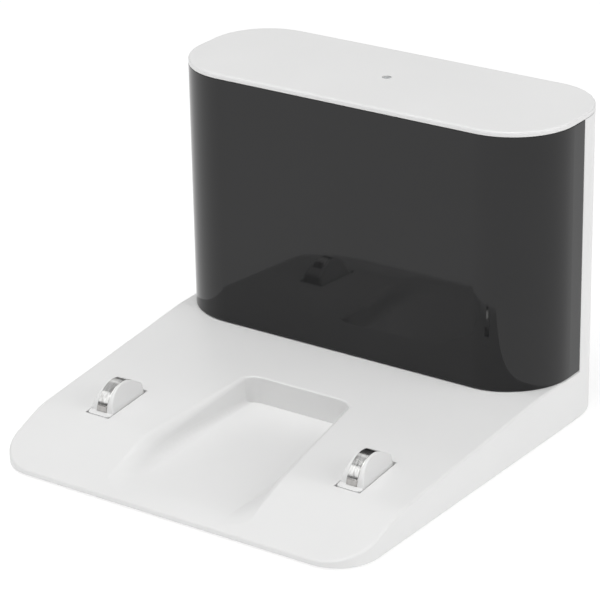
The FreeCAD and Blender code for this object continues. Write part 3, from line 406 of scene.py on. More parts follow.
@dataclass(frozen=True)
class BrushedMetal(Finish):
    """Metal with fine drawn lines along one axis and a duller tarnish in patches."""

    tint: Colour
    tarnish: Colour
    roughness: float
    lines: Colour = (2600.0, 90.0, 2600.0)
    relief: float = 0.004
    patches: float = 0.62
    anisotropy: float = 0.35

    def make(self) -> bpy.types.Material:
        """Builds the material."""
        graph = Graph(self.slot, 0.12 * MM)
        streaks = graph.noise(1.0, 3.0, graph.mapped(self.lines))
        clean = graph.ramp(streaks, tuple(channel * 0.86 for channel in self.tint), self.tint, 0.35, 0.6)
        spots = graph.spread(graph.noise(420.0, 5.0), 0.0, 1.0, self.patches, self.patches + 0.12)
        graph.colour(graph.blend(spots, clean, self.tarnish))
        graph.rough(graph.spread(streaks, self.roughness * 0.7, self.roughness * 1.6))
        graph.bump(streaks, strength=0.35, distance=self.relief * MM)
        graph.set(Metallic=1.0, Anisotropic=self.anisotropy)
        return graph.material


@dataclass(frozen=True)
class ContactPlating(Finish):
    """Bright nickel on the strips: sliding scratches, tarnish where nothing rubs, and the foot below the
    crease painted darker as painted shade.
    """

    tint: Colour
    # Dark colour for the tarnish smears and for the painted shade on the foot.
    tarnish_and_painted_shade: Colour
    crease_z: float
    # Height over which the painted shade on the foot fades in.
    foot_shade_fade: float = 0.25 * MM

    def make(self) -> bpy.types.Material:
        """Builds the material."""
        graph = Graph(self.slot, 0.10 * MM)
        scratches = graph.noise(1.0, 4.0, graph.mapped((3800.0, 170.0, 240.0)))
        smears = graph.noise(1.0, 5.0, graph.mapped((900.0, 260.0, 380.0)))
        worn = tuple(channel * 0.80 for channel in self.tint)
        polished = graph.ramp(scratches, worn, self.tint, 0.40, 0.56)
        smeared = graph.blend(graph.spread(smears, 0.0, 0.55, 0.50, 0.66), polished, self.tarnish_and_painted_shade)
        # Painted shade: the foot below the crease is darkened with the dark colour.
        foot = graph.along(Axis.Z, self.crease_z, self.crease_z - self.foot_shade_fade)
        graph.colour(graph.blend(foot, smeared, self.tarnish_and_painted_shade))
        graph.rough(graph.spread(scratches, 0.08, 0.25, 0.35, 0.65))
        graph.bump(scratches, strength=0.5, distance=0.006 * MM)
        graph.bump(smears, strength=0.2, distance=0.015 * MM)
        graph.set(Metallic=1.0, Anisotropic=0.3)
        return graph.material


@dataclass(frozen=True)
class Rubber(Finish):
    """Soft dark pad with fine pitting and dust."""

    tint: Colour

    def make(self) -> bpy.types.Material:
        """Builds the material."""
        graph = Graph(self.slot, 0.2 * MM)
        dusty = tuple(channel + 0.05 for channel in self.tint)
        graph.colour(graph.ramp(graph.noise(700.0, 5.0), self.tint, dusty, 0.45, 0.75))
        graph.rough(graph.spread(graph.noise(300.0, 3.0), 0.72, 0.9))
        graph.bump(graph.grains(1500.0), strength=0.4, distance=0.03 * MM)
        graph.set(Specular_IOR_Level=0.3)
        return graph.material


@dataclass(frozen=True)
class CastIron(Finish):
    """Dark granular metal or ferrite, ground flat in places."""

    tint: Colour
    grain: float
    metal: float

    def make(self) -> bpy.types.Material:
        """Builds the material."""
        graph = Graph(self.slot, 0.2 * MM)
        pale = tuple(channel * 1.7 for channel in self.tint)
        graph.colour(graph.ramp(graph.grains(self.grain), pale, self.tint, 0.1, 0.6))
        graph.rough(graph.spread(graph.noise(self.grain / 3, 4.0), 0.42, 0.68))
        graph.bump(graph.noise(self.grain, 4.0), strength=0.4, distance=0.03 * MM)
        graph.set(Metallic=self.metal)
        return graph.material


@dataclass(frozen=True)
class Insulation(Finish):
    """Extruded lead insulation, slightly waxy, with drag lines."""

    tint: Colour

    def make(self) -> bpy.types.Material:
        """Builds the material."""
        graph = Graph(self.slot)
        light = tuple(channel * 1.25 + 0.01 for channel in self.tint)
        graph.colour(graph.ramp(graph.noise(260.0, 4.0), self.tint, light))
        graph.rough(graph.spread(graph.noise(900.0, 2.0), 0.34, 0.48))
        graph.bump(graph.noise(1400.0, 2.0), strength=0.2, distance=0.01 * MM)
        return graph.material


@dataclass(frozen=True)
class SolderMask(Finish):
    """Printed board: copper tracks and pads that stand up under the mask."""

    tint: Colour
    track: Colour
    solder: Colour = (0.55, 0.55, 0.53)
    tracks_per_metre: float = 250.0

    def make(self) -> bpy.types.Material:
        """Builds the material."""
        graph = Graph(self.slot)
        tracks = graph.add("ShaderNodeTexBrick")
        tracks.offset = 0.37
        tracks.squash = 0.6
        tracks.squash_frequency = 3
        for key, value in (("Scale", 1.0), ("Mortar Size", 0.09), ("Mortar Smooth", 0.25),
                           ("Brick Width", 2.3), ("Row Height", 0.7), ("Bias", 0.0),
                           ("Color1", BLACK), ("Color2", BLACK), ("Mortar", WHITE)):
            tracks.inputs[key].default_value = value
        upright = graph.mapped((self.tracks_per_metre,) * 3, (math.pi / 2, 0.0, 0.0))
        graph.link(upright, tracks.inputs["Vector"])
        pads = graph.spread(graph.grains(210.0), 1.0, 0.0, 0.10, 0.14)
        mask = graph.ramp(graph.noise(120.0, 4.0), tuple(channel * 0.8 for channel in self.tint), self.tint)
        routed = graph.blend(tracks.outputs["Color"], mask, self.track)
        graph.colour(graph.blend(pads, routed, self.solder))
        graph.rough(graph.spread(graph.noise(500.0, 3.0), 0.2, 0.34))
        graph.bump(tracks.outputs["Color"], strength=0.5, distance=0.035 * MM)
        return graph.material


@dataclass(frozen=True)
class Wound(Finish):
    """Turns of wire or tape beside each other; the pitch is in millimetres."""

    tint: Colour
    # Dark colour: painted shade in the grooves between turns, and random darker patches.
    groove_shade_and_patches: Colour
    pitch: float
    axis: Axis
    roughness: float
    metal: float = 0.0

    def make(self) -> bpy.types.Material:
        """Builds the material."""
        graph = Graph(self.slot)
        turns = graph.bands(self.axis, self.pitch * MM, 0.35)
        # Painted shade: the grooves between turns are darkened.
        wound = graph.ramp(turns, self.groove_shade_and_patches, self.tint, 0.05, 0.45)
        graph.colour(graph.blend(graph.spread(graph.noise(500.0, 4.0), 0.0, 0.3), wound, self.groove_shade_and_patches))
        graph.rough(graph.spread(graph.noise(300.0, 3.0), self.roughness - 0.05, self.roughness + 0.12))
        graph.bump(turns, strength=0.6, distance=self.pitch * 0.3 * MM)
        graph.set(Metallic=self.metal)
        return graph.material


@dataclass(frozen=True)
class CanSleeve(Finish):
    """Shrink sleeve over an aluminium can: the top is bare metal, and a pale stripe marks one side."""

    tint: Colour
    stripe: Colour
    top_y: float
    bare_metal: Colour = (0.72, 0.72, 0.73)
    stripe_pitch: float = 9.0 * MM

    def make(self) -> bpy.types.Material:
        """Builds the material."""
        graph = Graph(self.slot, 0.1 * MM)
        sleeve = graph.ramp(graph.noise(200.0, 3.0), tuple(channel * 0.8 for channel in self.tint), self.tint)
        marks = graph.spread(graph.bands(Axis.Z, self.stripe_pitch), 0.0, 1.0, 0.90, 0.93)
        striped = graph.blend(marks, sleeve, self.stripe)
        bare = graph.along(Axis.Y, self.top_y + 0.25 * MM, self.top_y + 0.15 * MM)
        graph.colour(graph.blend(bare, striped, self.bare_metal))
        graph.link(bare, graph.shader.inputs["Metallic"])
        graph.rough(graph.spread(graph.noise(260.0, 3.0), 0.26, 0.38))
        graph.bump(graph.noise(700.0, 2.0), strength=0.15, distance=0.01 * MM)
        return graph.material


@dataclass(frozen=True)
class ClearResin(Finish):
    """Cast or moulded clear plastic with fine flow lines."""

    tint: Colour
    transmission: float

    def make(self) -> bpy.types.Material:
        """Builds the material."""
        graph = Graph(self.slot)
        deeper = tuple(channel * 0.88 for channel in self.tint)
        graph.colour(graph.ramp(graph.noise(600.0, 3.0), deeper, self.tint))
        graph.rough(graph.spread(graph.noise(900.0, 3.0), 0.04, 0.12))
        graph.bump(graph.noise(500.0, 2.0), strength=0.1, distance=0.01 * MM)
        graph.set(Transmission_Weight=self.transmission, IOR=1.52)
        return graph.material


# -------- finishes of the dock

WHITE_SHELL = MouldedPlastic("white_shell", (0.80, 0.80, 0.797), 0.34)
WHITE_PLATE = MouldedPlastic("white_plate", (0.74, 0.74, 0.733), 0.50, grain=1500.0, grain_height=0.030)
BLACK_PLASTIC = MouldedPlastic("black_plastic", (0.030, 0.030, 0.032), 0.44, grain=1800.0, grain_height=0.02)
CHIP_EPOXY = MouldedPlastic("chip_epoxy", (0.020, 0.020, 0.021), 0.55, grain=4200.0, rounding=0.15, rub_and_highlight=0.02)
FUSE_CASE = MouldedPlastic("fuse_case", (0.10, 0.088, 0.075), 0.42, rounding=0.2)
IR_WINDOW = DarkWindow("ir_window", (0.0055, 0.0055, 0.0062), 0.045)
SPRING_STEEL = BrushedMetal("spring_steel", (0.62, 0.62, 0.63), (0.36, 0.34, 0.31), 0.22)
SCREW_STEEL = BrushedMetal("screw_steel", (0.50, 0.50, 0.51), (0.28, 0.26, 0.23), 0.30,
                           lines=(1400.0, 1400.0, 90.0))
TERMINAL_BRASS = BrushedMetal("terminal_brass", (0.72, 0.56, 0.26), (0.42, 0.29, 0.12), 0.22)
SINK_ALUMINIUM = BrushedMetal("sink_aluminium", (0.70, 0.70, 0.71), (0.52, 0.52, 0.53), 0.34,
                              lines=(90.0, 2200.0, 2200.0))
FOOT_RUBBER = Rubber("foot_rubber", (0.075, 0.075, 0.078))
BALLAST_IRON = CastIron("ballast_iron", (0.16, 0.155, 0.15), 900.0, 0.8)
FERRITE = CastIron("ferrite", (0.050, 0.050, 0.055), 1600.0, 0.3)
LEAD_BLACK = Insulation("lead_black", (0.028, 0.028, 0.030))
LEAD_RED = Insulation("lead_red", (0.48, 0.028, 0.022))
BOARD_GREEN = SolderMask("board_green", (0.016, 0.13, 0.050), (0.035, 0.23, 0.085))
COIL_TAPE = Wound("coil_tape", (0.78, 0.56, 0.06), (0.52, 0.34, 0.03), 2.4, Axis.Z, 0.26)
COIL_COPPER = Wound("coil_copper", (0.62, 0.24, 0.09), (0.20, 0.06, 0.02), 0.42, Axis.X, 0.26, 0.85)
EMITTER_LENS = ClearResin("emitter_lens", (0.30, 0.22, 0.38), 0.85)
LED_LENS = ClearResin("led_lens", (0.90, 0.92, 0.93), 0.8)
CLEAR_GUIDE = ClearResin("clear_guide", (0.62, 0.64, 0.65), 0.35)


# -------- working a piece


class Workpiece:
    """One new piece, made from a primitive in edit mode as on a bench."""

    def __init__(self, name: str) -> None:
        """Takes the primitive that was just added.

        Args:
            name: Name of the piece.
        """
        self.object = bpy.context.object
        self.object.name = name
        self.object.data.name = name
        bpy.ops.object.transform_apply(location=True, rotation=True, scale=True)
        bpy.ops.object.mode_set(mode="EDIT")
        bpy.ops.mesh.select_all(action="DESELECT")

    @staticmethod
    def clear() -> None:
        """Deselects everything in object mode."""
        if bpy.context.object and bpy.context.object.mode != "OBJECT":
            bpy.ops.object.mode_set(mode="OBJECT")
        bpy.ops.object.select_all(action="DESELECT")

    @classmethod
    def box(cls, name: str, low: Vector, high: Vector) -> "Workpiece":
        """Starts from a box between two corners."""
        cls.clear()
        bpy.ops.mesh.primitive_cube_add(size=1.0, location=(low + high) / 2, scale=high - low)
        return cls(name)

    @classmethod
    def disc(cls, name: str, foot: Vector, radius: float, height: float, sides: int) -> "Workpiece":
        """Starts from an upright round bar.

        Args:
            name: Name of the piece.
            foot: Middle of its lower end.
            radius: Its radius.
            height: Its height.
            sides: Number of its sides.

        Returns:
            The piece, in edit mode.
        """
        cls.clear()
        middle = foot + Vector((0.0, 0.0, height / 2))
        bpy.ops.mesh.primitive_cylinder_add(vertices=sides, radius=radius, depth=height, location=middle)
        return cls(name)

    @classmethod
    def sheet(cls, name: str, centre: Vector, size: Vector, turn: Colour) -> "Workpiece":
        """Starts from a flat rectangle.

        Args:
            name: Name of the piece.
            centre: Its middle.
            size: Its two sides.
            turn: Its angles about X, Y and Z.

        Returns:
            The piece, in edit mode.
        """
        cls.clear()
        bpy.ops.mesh.primitive_plane_add(size=1.0, location=centre, rotation=turn)
        bpy.context.object.scale = (size[0], size[1], 1.0)
        return cls(name)

    def mesh(self) -> bmesh.types.BMesh:
        """The mesh that is being edited."""
        return bmesh.from_edit_mesh(self.object.data)

    def pick_faces(self, test: Test) -> "Workpiece":
        """Selects the faces whose middle and normal pass a test."""
        bpy.context.tool_settings.mesh_select_mode = (False, False, True)
        bpy.ops.mesh.select_all(action="DESELECT")
        mesh = self.mesh()
        for face in mesh.faces:
            face.select_set(test(face.calc_center_median(), face.normal))
        bmesh.update_edit_mesh(self.object.data)
        return self

    def pick_edges(self, test: Test) -> "Workpiece":
        """Selects the edges whose two ends pass a test."""
        bpy.context.tool_settings.mesh_select_mode = (False, True, False)
        bpy.ops.mesh.select_all(action="DESELECT")
        mesh = self.mesh()
        for edge in mesh.edges:
            edge.select_set(test(edge.verts[0].co, edge.verts[1].co))
        bmesh.update_edit_mesh(self.object.data)
        return self

    def bevel(self, width: float, segments: int = 3) -> "Workpiece":
        """Rounds the selected edges."""
        bpy.ops.mesh.bevel(offset=width, offset_type="OFFSET", segments=segments, profile=0.5,
                           affect="EDGES", clamp_overlap=True)
        return self

    def inset(self, width: float) -> "Workpiece":
        """Insets the selected faces."""
        bpy.ops.mesh.inset(thickness=width, depth=0.0)
        return self

    def extrude(self, shift: Vector) -> "Workpiece":
        """Extrudes the selected faces along a vector."""
        bpy.ops.mesh.extrude_region_move(TRANSFORM_OT_translate={"value": tuple(shift)})
        return self

    def resize(self, factors: Vector) -> "Workpiece":
        """Scales what is selected about its middle."""
        bpy.ops.transform.resize(value=tuple(factors))
        return self

    def bench_off(self, angle: float = FLAT_SMOOTHING) -> bpy.types.Object:
        """Leaves edit mode with outward normals and smooth shading below an angle.

        Args:
            angle: Degrees up to which neighbouring faces shade as one.

        Returns:
            The object.
        """
        bpy.ops.mesh.select_all(action="SELECT")
        bpy.ops.mesh.remove_doubles(threshold=MERGE_DISTANCE)
        bpy.ops.mesh.normals_make_consistent(inside=False)
        bpy.ops.object.mode_set(mode="OBJECT")
        bpy.ops.object.shade_smooth_by_angle(angle=math.radians(angle))
        return self.object


class Bench:
    """What is done with objects that are off the bench."""

    @staticmethod
    def activate(piece: bpy.types.Object) -> None:
        """Makes a piece the one that operators work on."""
        Workpiece.clear()
        piece.select_set(True)
        bpy.context.view_layer.objects.active = piece

    @staticmethod
    def cut(piece: bpy.types.Object, tool: bpy.types.Object) -> None:
        """Takes a tool's shape away from a piece and removes the tool.

        Args:
            piece: What is cut.
            tool: What cuts it.
        """
        Bench.activate(piece)
        modifier = piece.modifiers.new("cut", "BOOLEAN")
        modifier.operation = "DIFFERENCE"
        modifier.solver = "EXACT"
        modifier.object = tool
        bpy.ops.object.modifier_apply(modifier=modifier.name)
        bpy.data.objects.remove(tool)

    @staticmethod
    def join(pieces: list[bpy.types.Object], name: str) -> bpy.types.Object:
        """Makes one object of several.

        Args:
            pieces: What is joined.
            name: Name of the whole.

        Returns:
            The joined object.
        """
        Workpiece.clear()
        for piece in pieces:
            piece.select_set(True)
        bpy.context.view_layer.objects.active = pieces[0]
        bpy.ops.object.join()
        pieces[0].name = name
        pieces[0].data.name = name
        return pieces[0]

    @staticmethod
    def copy(piece: bpy.types.Object, place: Matrix) -> bpy.types.Object:
        """Copies a piece with its own mesh, moved in the mesh."""
        double = piece.copy()
        double.data = piece.data.copy()
        bpy.context.scene.collection.objects.link(double)
        double.data.transform(place)
        if place.determinant() < 0:
            double.data.flip_normals()
        return double

    @staticmethod
    def deliver(piece: bpy.types.Object, body: Body, finish: Finish, *replaced: str) -> None:
        """Dresses a piece and hands it to the frame.

        Args:
            piece: The finished piece.
            body: What it rides on.
            finish: What it is made of.
            replaced: Nodes that it stands for.
        """
        piece.data.materials.clear()
        piece.data.materials.append(finish.material())
        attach(piece, body.value)
        if replaced:
            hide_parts(*replaced)
        LOG.info("%s: %d faces on %s", piece.name, len(piece.data.polygons), body.value)


# -------- sub-assemblies


class SubAssembly:
    """Nodes and new pieces that belong together on the real dock."""

    def build(self) -> None:
        """Makes the new pieces; a group that has none leaves this as it is."""

    def dress(self) -> None:
        """Gives the group's nodes their finishes; every group has its own."""
        raise NotImplementedError


@dataclass
class Casing(SubAssembly):
    """White shell, lid, dark window and light guide."""

    def dress(self) -> None:
        """Gives the casing's nodes their finishes."""
        WHITE_SHELL.dress("body_shell", "top_cap")
        IR_WINDOW.dress("window_cover")
        CLEAR_GUIDE.dress("light_guide")


@dataclass
class BayCover(SubAssembly):
    """Lift-off cover at the back, with gripping bars in its finger scoop."""

    scoop_low_z: float = 72.0 * MM
    scoop_high_z: float = 80.0 * MM
    scoop_depth: float = 1.2 * MM
    bar_half: float = 9.5 * MM
    bar_height: float = 0.9 * MM
    bar_thick: float = 1.0 * MM
    bar_root: float = 0.2 * MM
    bar_round: float = 0.38 * MM
    bars: int = 3

    def build(self) -> None:
        """Makes the gripping bars."""
        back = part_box("back_cover")[1][1]
        floor = back - self.scoop_depth
        pitch = (self.scoop_high_z - self.scoop_low_z) / (self.bars + 1)
        made = []
        for index in range(self.bars):
            middle = self.scoop_low_z + pitch * (index + 1)
            low = Vector((-self.bar_half, floor - self.bar_root, middle - self.bar_thick / 2))
            high = Vector((self.bar_half, floor + self.bar_height, middle + self.bar_thick / 2))
            bar = Workpiece.box("bar", low, high)
            bar.pick_edges(lambda a, b: min(a.y, b.y) > floor or abs(a.y - b.y) > NEAR)
            bar.bevel(self.bar_round, segments=4)
            made.append(bar.bench_off())
        Bench.deliver(Bench.join(made, "cover_grips"), Body.COVER, WHITE_SHELL)

    def dress(self) -> None:
        """Gives the cover its finish."""
        WHITE_SHELL.dress("back_cover")


@dataclass
class ContactStrip(SubAssembly):
    """Plated strip bent over each sprung hump, with a flared foot in front and a tucked end behind."""

    centre_x: float = 43.5 * MM
    half_width: float = 1.75 * MM
    thickness: float = 0.35 * MM
    front: tuple[float, float] = (-40.2 * MM, 10.914 * MM)
    back: tuple[float, float] = (-24.6 * MM, 12.158 * MM)
    rise: float = 6.4 * MM
    proud: float = 0.08 * MM
    crease_rise: float = 2.0 * MM
    tuck: float = 0.9 * MM
    crease: tuple[tuple[float, float], ...] = ((0.08 * MM, -0.14 * MM), (-0.30 * MM, -0.05 * MM),
                                               (-0.38 * MM, -1.66 * MM))
    steps: int = 40
    edge_round: float = 0.07 * MM
    sharp_angle: float = 60.0
    tint: Colour = (0.86, 0.86, 0.85)
    # Dark colour for the tarnish smears and for the painted shade on the strip's foot.
    tarnish_and_painted_shade: Colour = (0.42, 0.41, 0.40)

    def circle(self) -> tuple[Vector, float]:
        """Middle and radius of the arc over the hump.

        Returns:
            The middle, in the plane of the strip's centre line, and the radius.
        """
        front = Vector((self.centre_x, *self.front))
        back = Vector((self.centre_x, *self.back))
        chord = back - front
        radius = (chord.length_squared / 4 + self.rise ** 2) / (2 * self.rise)
        normal = Vector((0.0, -chord.z, chord.y)).normalized()
        return (front + back) / 2 + normal * (self.rise - radius), radius + self.proud

    def build(self) -> None:
        """Makes the right-hand strip and its mirror image."""
        centre, radius = self.circle()
        front_angle = math.asin((self.front[1] + self.crease_rise - centre.z) / radius)
        back_angle = math.asin((self.back[1] - self.tuck - centre.z) / radius)
        sweep = math.pi - front_angle - back_angle
        middle_radius = radius - self.thickness / 2
        start = centre + Vector((0.0, -math.cos(front_angle), math.sin(front_angle))) * middle_radius
        strip = Workpiece.sheet("contact_band_right", start, Vector((2 * self.half_width, self.thickness)),
                                (math.pi - front_angle, 0.0, 0.0))
        bpy.ops.mesh.select_all(action="SELECT")
        bpy.ops.mesh.spin(steps=self.steps, dupli=False, angle=sweep, center=tuple(centre),
                          axis=(1.0, 0.0, 0.0))
        strip.pick_faces(lambda middle, _: (middle - start).length < NEAR)
        for shift in self.crease:
            strip.extrude(Vector((0.0, *shift)))
        right = strip.bench_off(ROUND_SMOOTHING)
        Bench.activate(right)
        rounding = right.modifiers.new("edges", "BEVEL")
        rounding.width = self.edge_round
        rounding.segments = 2
        rounding.limit_method = "ANGLE"
        rounding.angle_limit = math.radians(self.sharp_angle)
        bpy.ops.object.modifier_apply(modifier=rounding.name)
        left = Bench.copy(right, Matrix.Scale(-1.0, 4, Vector((1.0, 0.0, 0.0))))
        left.name = left.data.name = "contact_band_left"
        plating = ContactPlating("contact_plating", self.tint, self.tarnish_and_painted_shade, self.front[1] + self.crease_rise)
        plating.dress("contact_strip_left", "contact_strip_right")
        Bench.deliver(right, Body.RIGHT, plating, "contact_strip_right")
        Bench.deliver(left, Body.LEFT, plating, "contact_strip_left")

    def dress(self) -> None:
        """Gives the humps, trays, terminals and leads their finishes."""
        for side in ("left", "right"):
            WHITE_SHELL.dress("contact_shoe_" + side)
            BLACK_PLASTIC.dress("contact_holder_" + side)
            TERMINAL_BRASS.dress("contact_terminal_" + side)
        LEAD_BLACK.dress("contact_lead_left")
        LEAD_RED.dress("contact_lead_right")


@dataclass
class ContactSpring(SubAssembly):
    """Coil spring under each contact; it is squeezed against its terminal as the contact is pressed."""

    wire: float = 0.45 * MM
    wire_sides: int = 12
    turns: int = 7
    steps: int = 24
    travel: float = 3.8 * MM
    relief: float = 0.05 * MM

    def coil(self, radius: float, height: float) -> bpy.types.Object:
        """Winds one spring up the Z axis.

        Args:
            radius: From the axis to the middle of the wire.
            height: From end to end.

        Returns:
            The spring.
        """
        Workpiece.clear()
        bpy.ops.mesh.primitive_circle_add(vertices=self.wire_sides, radius=self.wire / 2,
                                          location=(radius, 0.0, self.wire / 2),
                                          rotation=(math.pi / 2, 0.0, 0.0))
        piece = Workpiece("spring").object
        bpy.ops.object.mode_set(mode="OBJECT")
        winding = piece.modifiers.new("winding", "SCREW")
        winding.steps = winding.render_steps = self.steps
        winding.iterations = self.turns
        winding.screw_offset = (height - self.wire) / self.turns
        bpy.ops.object.modifier_apply(modifier=winding.name)
        bpy.ops.object.mode_set(mode="EDIT")
        bpy.ops.mesh.select_all(action="SELECT")
        bpy.ops.mesh.fill_holes(sides=0)
        bpy.ops.mesh.normals_make_consistent(inside=False)
        bpy.ops.object.mode_set(mode="OBJECT")
        bpy.ops.object.shade_smooth_by_angle(angle=math.radians(ROUND_SMOOTHING))
        return piece

    def build(self) -> None:
        """Makes both springs, each in place of its node and riding on the dock."""
        for side in ("right", "left"):
            node = "contact_spring_" + side
            low, high = (Vector(corner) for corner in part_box(node))
            foot = Vector(((low.x + high.x) / 2, (low.y + high.y) / 2, low.z))
            height = high.z - low.z - self.relief
            model = self.coil((high.x - low.x - self.wire) / 2, height)
            spring = Bench.copy(model, Matrix.Translation(foot))
            spring.name = spring.data.name = "coil_spring_" + side
            bpy.data.objects.remove(model)
            Bench.deliver(spring, Body.DOCK, SPRING_STEEL, node)
            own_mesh(spring)

    def dress(self) -> None:
        """Gives the springs of the frame the same finish."""
        SPRING_STEEL.dress("contact_spring_left", "contact_spring_right")


@dataclass
class Underside(SubAssembly):
    """Bottom plate, its cross-head screws and the grooved feet; both lists of places are in millimetres."""

    head_radius: float = 2.7 * MM
    head_height: float = 1.0 * MM
    head_round: float = 0.45 * MM
    head_sides: int = 40
    cross_half: float = 1.35 * MM
    cross_thick: float = 0.42 * MM
    cross_depth: float = 0.65 * MM
    cross_taper: float = 0.7
    cross_overshoot: float = 0.5 * MM
    shank_radius: float = 1.25 * MM
    shank_length: float = 5.0 * MM
    shank_taper: float = 0.55
    screw_places: tuple[tuple[float, float], ...] = ((52.0, -48.0), (57.0, 8.0), (54.0, 56.0), (38.0, 31.0))
    foot_places: tuple[tuple[float, float], ...] = ((36.0, -54.0), (38.0, 60.0))
    foot_half: tuple[float, float] = (11.0 * MM, 4.0 * MM)
    foot_edge: float = 0.35 * MM
    foot_rim: float = 0.9 * MM
    foot_groove: float = 0.35 * MM
    end_gap: float = 0.02 * MM
    rib_half: tuple[float, float] = (0.5 * MM, 2.6 * MM)
    rib_foot: float = 0.02 * MM
    rib_top: float = 0.6 * MM
    rib_pitch: float = 2.4 * MM
    rib_round: float = 0.15 * MM
    ribs_each_side: int = 3

    def screw(self, level: float) -> bpy.types.Object:
        """Makes one pan-head screw, head down, on the Z axis.

        Args:
            level: Height of the head's outer face.

        Returns:
            The screw.
        """
        head = Workpiece.disc("screw", Vector((0.0, 0.0, level)), self.head_radius, self.head_height,
                              self.head_sides)
        head.pick_edges(lambda a, b: max(a.z, b.z) < level + LEVEL)
        head.bevel(self.head_round, segments=4)
        head.pick_faces(lambda middle, normal: normal.z > FACING)
        head.inset(self.head_radius - self.shank_radius)
        head.extrude(Vector((0.0, 0.0, self.shank_length)))
        head.resize(Vector((self.shank_taper, self.shank_taper, 1.0)))
        body = head.bench_off()
        below = Vector((0.0, 0.0, level - self.cross_overshoot))
        floor = Vector((0.0, 0.0, level + self.cross_depth))
        for sides in ((self.cross_half, self.cross_thick), (self.cross_thick, self.cross_half)):
            half = Vector((*sides, 0.0))
            tool = Workpiece.box("tool", below - half, floor + half)
            tool.pick_faces(lambda middle, normal: normal.z > FACING)
            tool.resize(Vector((self.cross_taper, self.cross_taper, 1.0)))
            Bench.cut(body, tool.bench_off())
        Bench.activate(body)
        bpy.ops.object.shade_smooth_by_angle(angle=math.radians(FLAT_SMOOTHING))
        return body

    def foot(self) -> bpy.types.Object:
        """Makes one grooved pad round the Z axis.

        Returns:
            The pad.
        """
        low, high = map(Vector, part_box("rubber_feet"))
        half_x, half_y = self.foot_half
        pad = Workpiece.box("pad", Vector((-half_x, -half_y, low.z)), Vector((half_x, half_y, high.z)))
        pad.pick_edges(lambda a, b: abs(a.z - b.z) > NEAR)
        pad.bevel(half_y - self.end_gap, segments=10)
        pad.pick_edges(lambda a, b: max(a.z, b.z) < low.z + LEVEL)
        pad.bevel(self.foot_edge, segments=3)
        pad.pick_faces(lambda middle, normal: normal.z < -FACING_EXACTLY)
        pad.inset(self.foot_rim)
        pad.extrude(Vector((0.0, 0.0, self.foot_groove)))
        ribs = [pad.bench_off()]
        for index in range(-self.ribs_each_side, self.ribs_each_side + 1):
            middle = Vector((index * self.rib_pitch, 0.0, low.z))
            rib = Workpiece.box("rib", middle - Vector((*self.rib_half, -self.rib_foot)),
                                middle + Vector((*self.rib_half, self.rib_top)))
            rib.pick_edges(lambda a, b: max(a.z, b.z) < low.z + NEAR)
            rib.bevel(self.rib_round, segments=2)
            ribs.append(rib.bench_off())
        return Bench.join(ribs, "pad")

    def build(self) -> None:
        """Makes the screws and the feet."""
        model = self.screw(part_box("bottom_screws")[0][2])
        made = []
        for side in (-1, 1):
            for x, y in self.screw_places:
                place = Matrix.Translation((side * x * MM, y * MM, 0.0))
                made.append(Bench.copy(model, place @ Matrix.Rotation(x + y, 4, "Z")))
        bpy.data.objects.remove(model)
        Bench.deliver(Bench.join(made, "base_screws"), Body.DOCK, SCREW_STEEL, "bottom_screws")
        model = self.foot()
        made = [Bench.copy(model, Matrix.Translation((side * x * MM, y * MM, 0.0)))
                for side in (-1, 1) for x, y in self.foot_places]
        bpy.data.objects.remove(model)
        Bench.deliver(Bench.join(made, "grooved_feet"), Body.DOCK, FOOT_RUBBER, "rubber_feet")

    def dress(self) -> None:
        """Gives the plate, ballast, screws and feet their finishes."""
        WHITE_PLATE.dress("bottom_plate")
        BALLAST_IRON.dress("ballast_bar")
        SCREW_STEEL.dress("holder_screws", "bottom_screws")
        FOOT_RUBBER.dress("rubber_feet")


@dataclass
class CordBay(SubAssembly):
    """Tub with its winding posts, and the appliance inlet that opens into it."""

    collar_thick: float = 1.1 * MM
    collar_rise: float = 0.5 * MM
    collar_root: float = 0.3 * MM
    collar_round: float = 0.16 * MM
    end_gap: float = 0.05 * MM
    socket_half: tuple[float, float] = (4.4 * MM, 8.2 * MM)

    def build(self) -> None:
        """Makes the raised collar round the inlet's socket."""
        low, high = map(Vector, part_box("mains_inlet"))
        middle = (low + high) / 2
        half_y, half_z = (half + self.collar_thick for half in self.socket_half)
        outer = Vector((0.0, half_y, half_z))
        collar = Workpiece.box("inlet_collar", Vector((low.x - self.collar_rise, middle.y, middle.z)) - outer,
                               Vector((low.x + self.collar_root, middle.y, middle.z)) + outer)
        collar.pick_edges(lambda a, b: abs(a.x - b.x) > NEAR)
        collar.bevel(half_y - self.end_gap, segments=10)
        collar.pick_faces(lambda centre, normal: abs(normal.x) > FACING)
        collar.inset(self.collar_thick)
        bpy.ops.mesh.bridge_edge_loops()
        collar.pick_edges(lambda a, b: max(a.x, b.x) < low.x - NEAR)
        collar.bevel(self.collar_round, segments=3)
        Bench.deliver(collar.bench_off(), Body.DOCK, BLACK_PLASTIC)

    def dress(self) -> None:
        """Gives the bay's nodes their finishes."""
        BLACK_PLASTIC.dress("cord_tub", "mains_inlet")
        TERMINAL_BRASS.dress("inlet_pins")
        SCREW_STEEL.dress("tub_screws")
        LEAD_BLACK.dress("mains_leads")


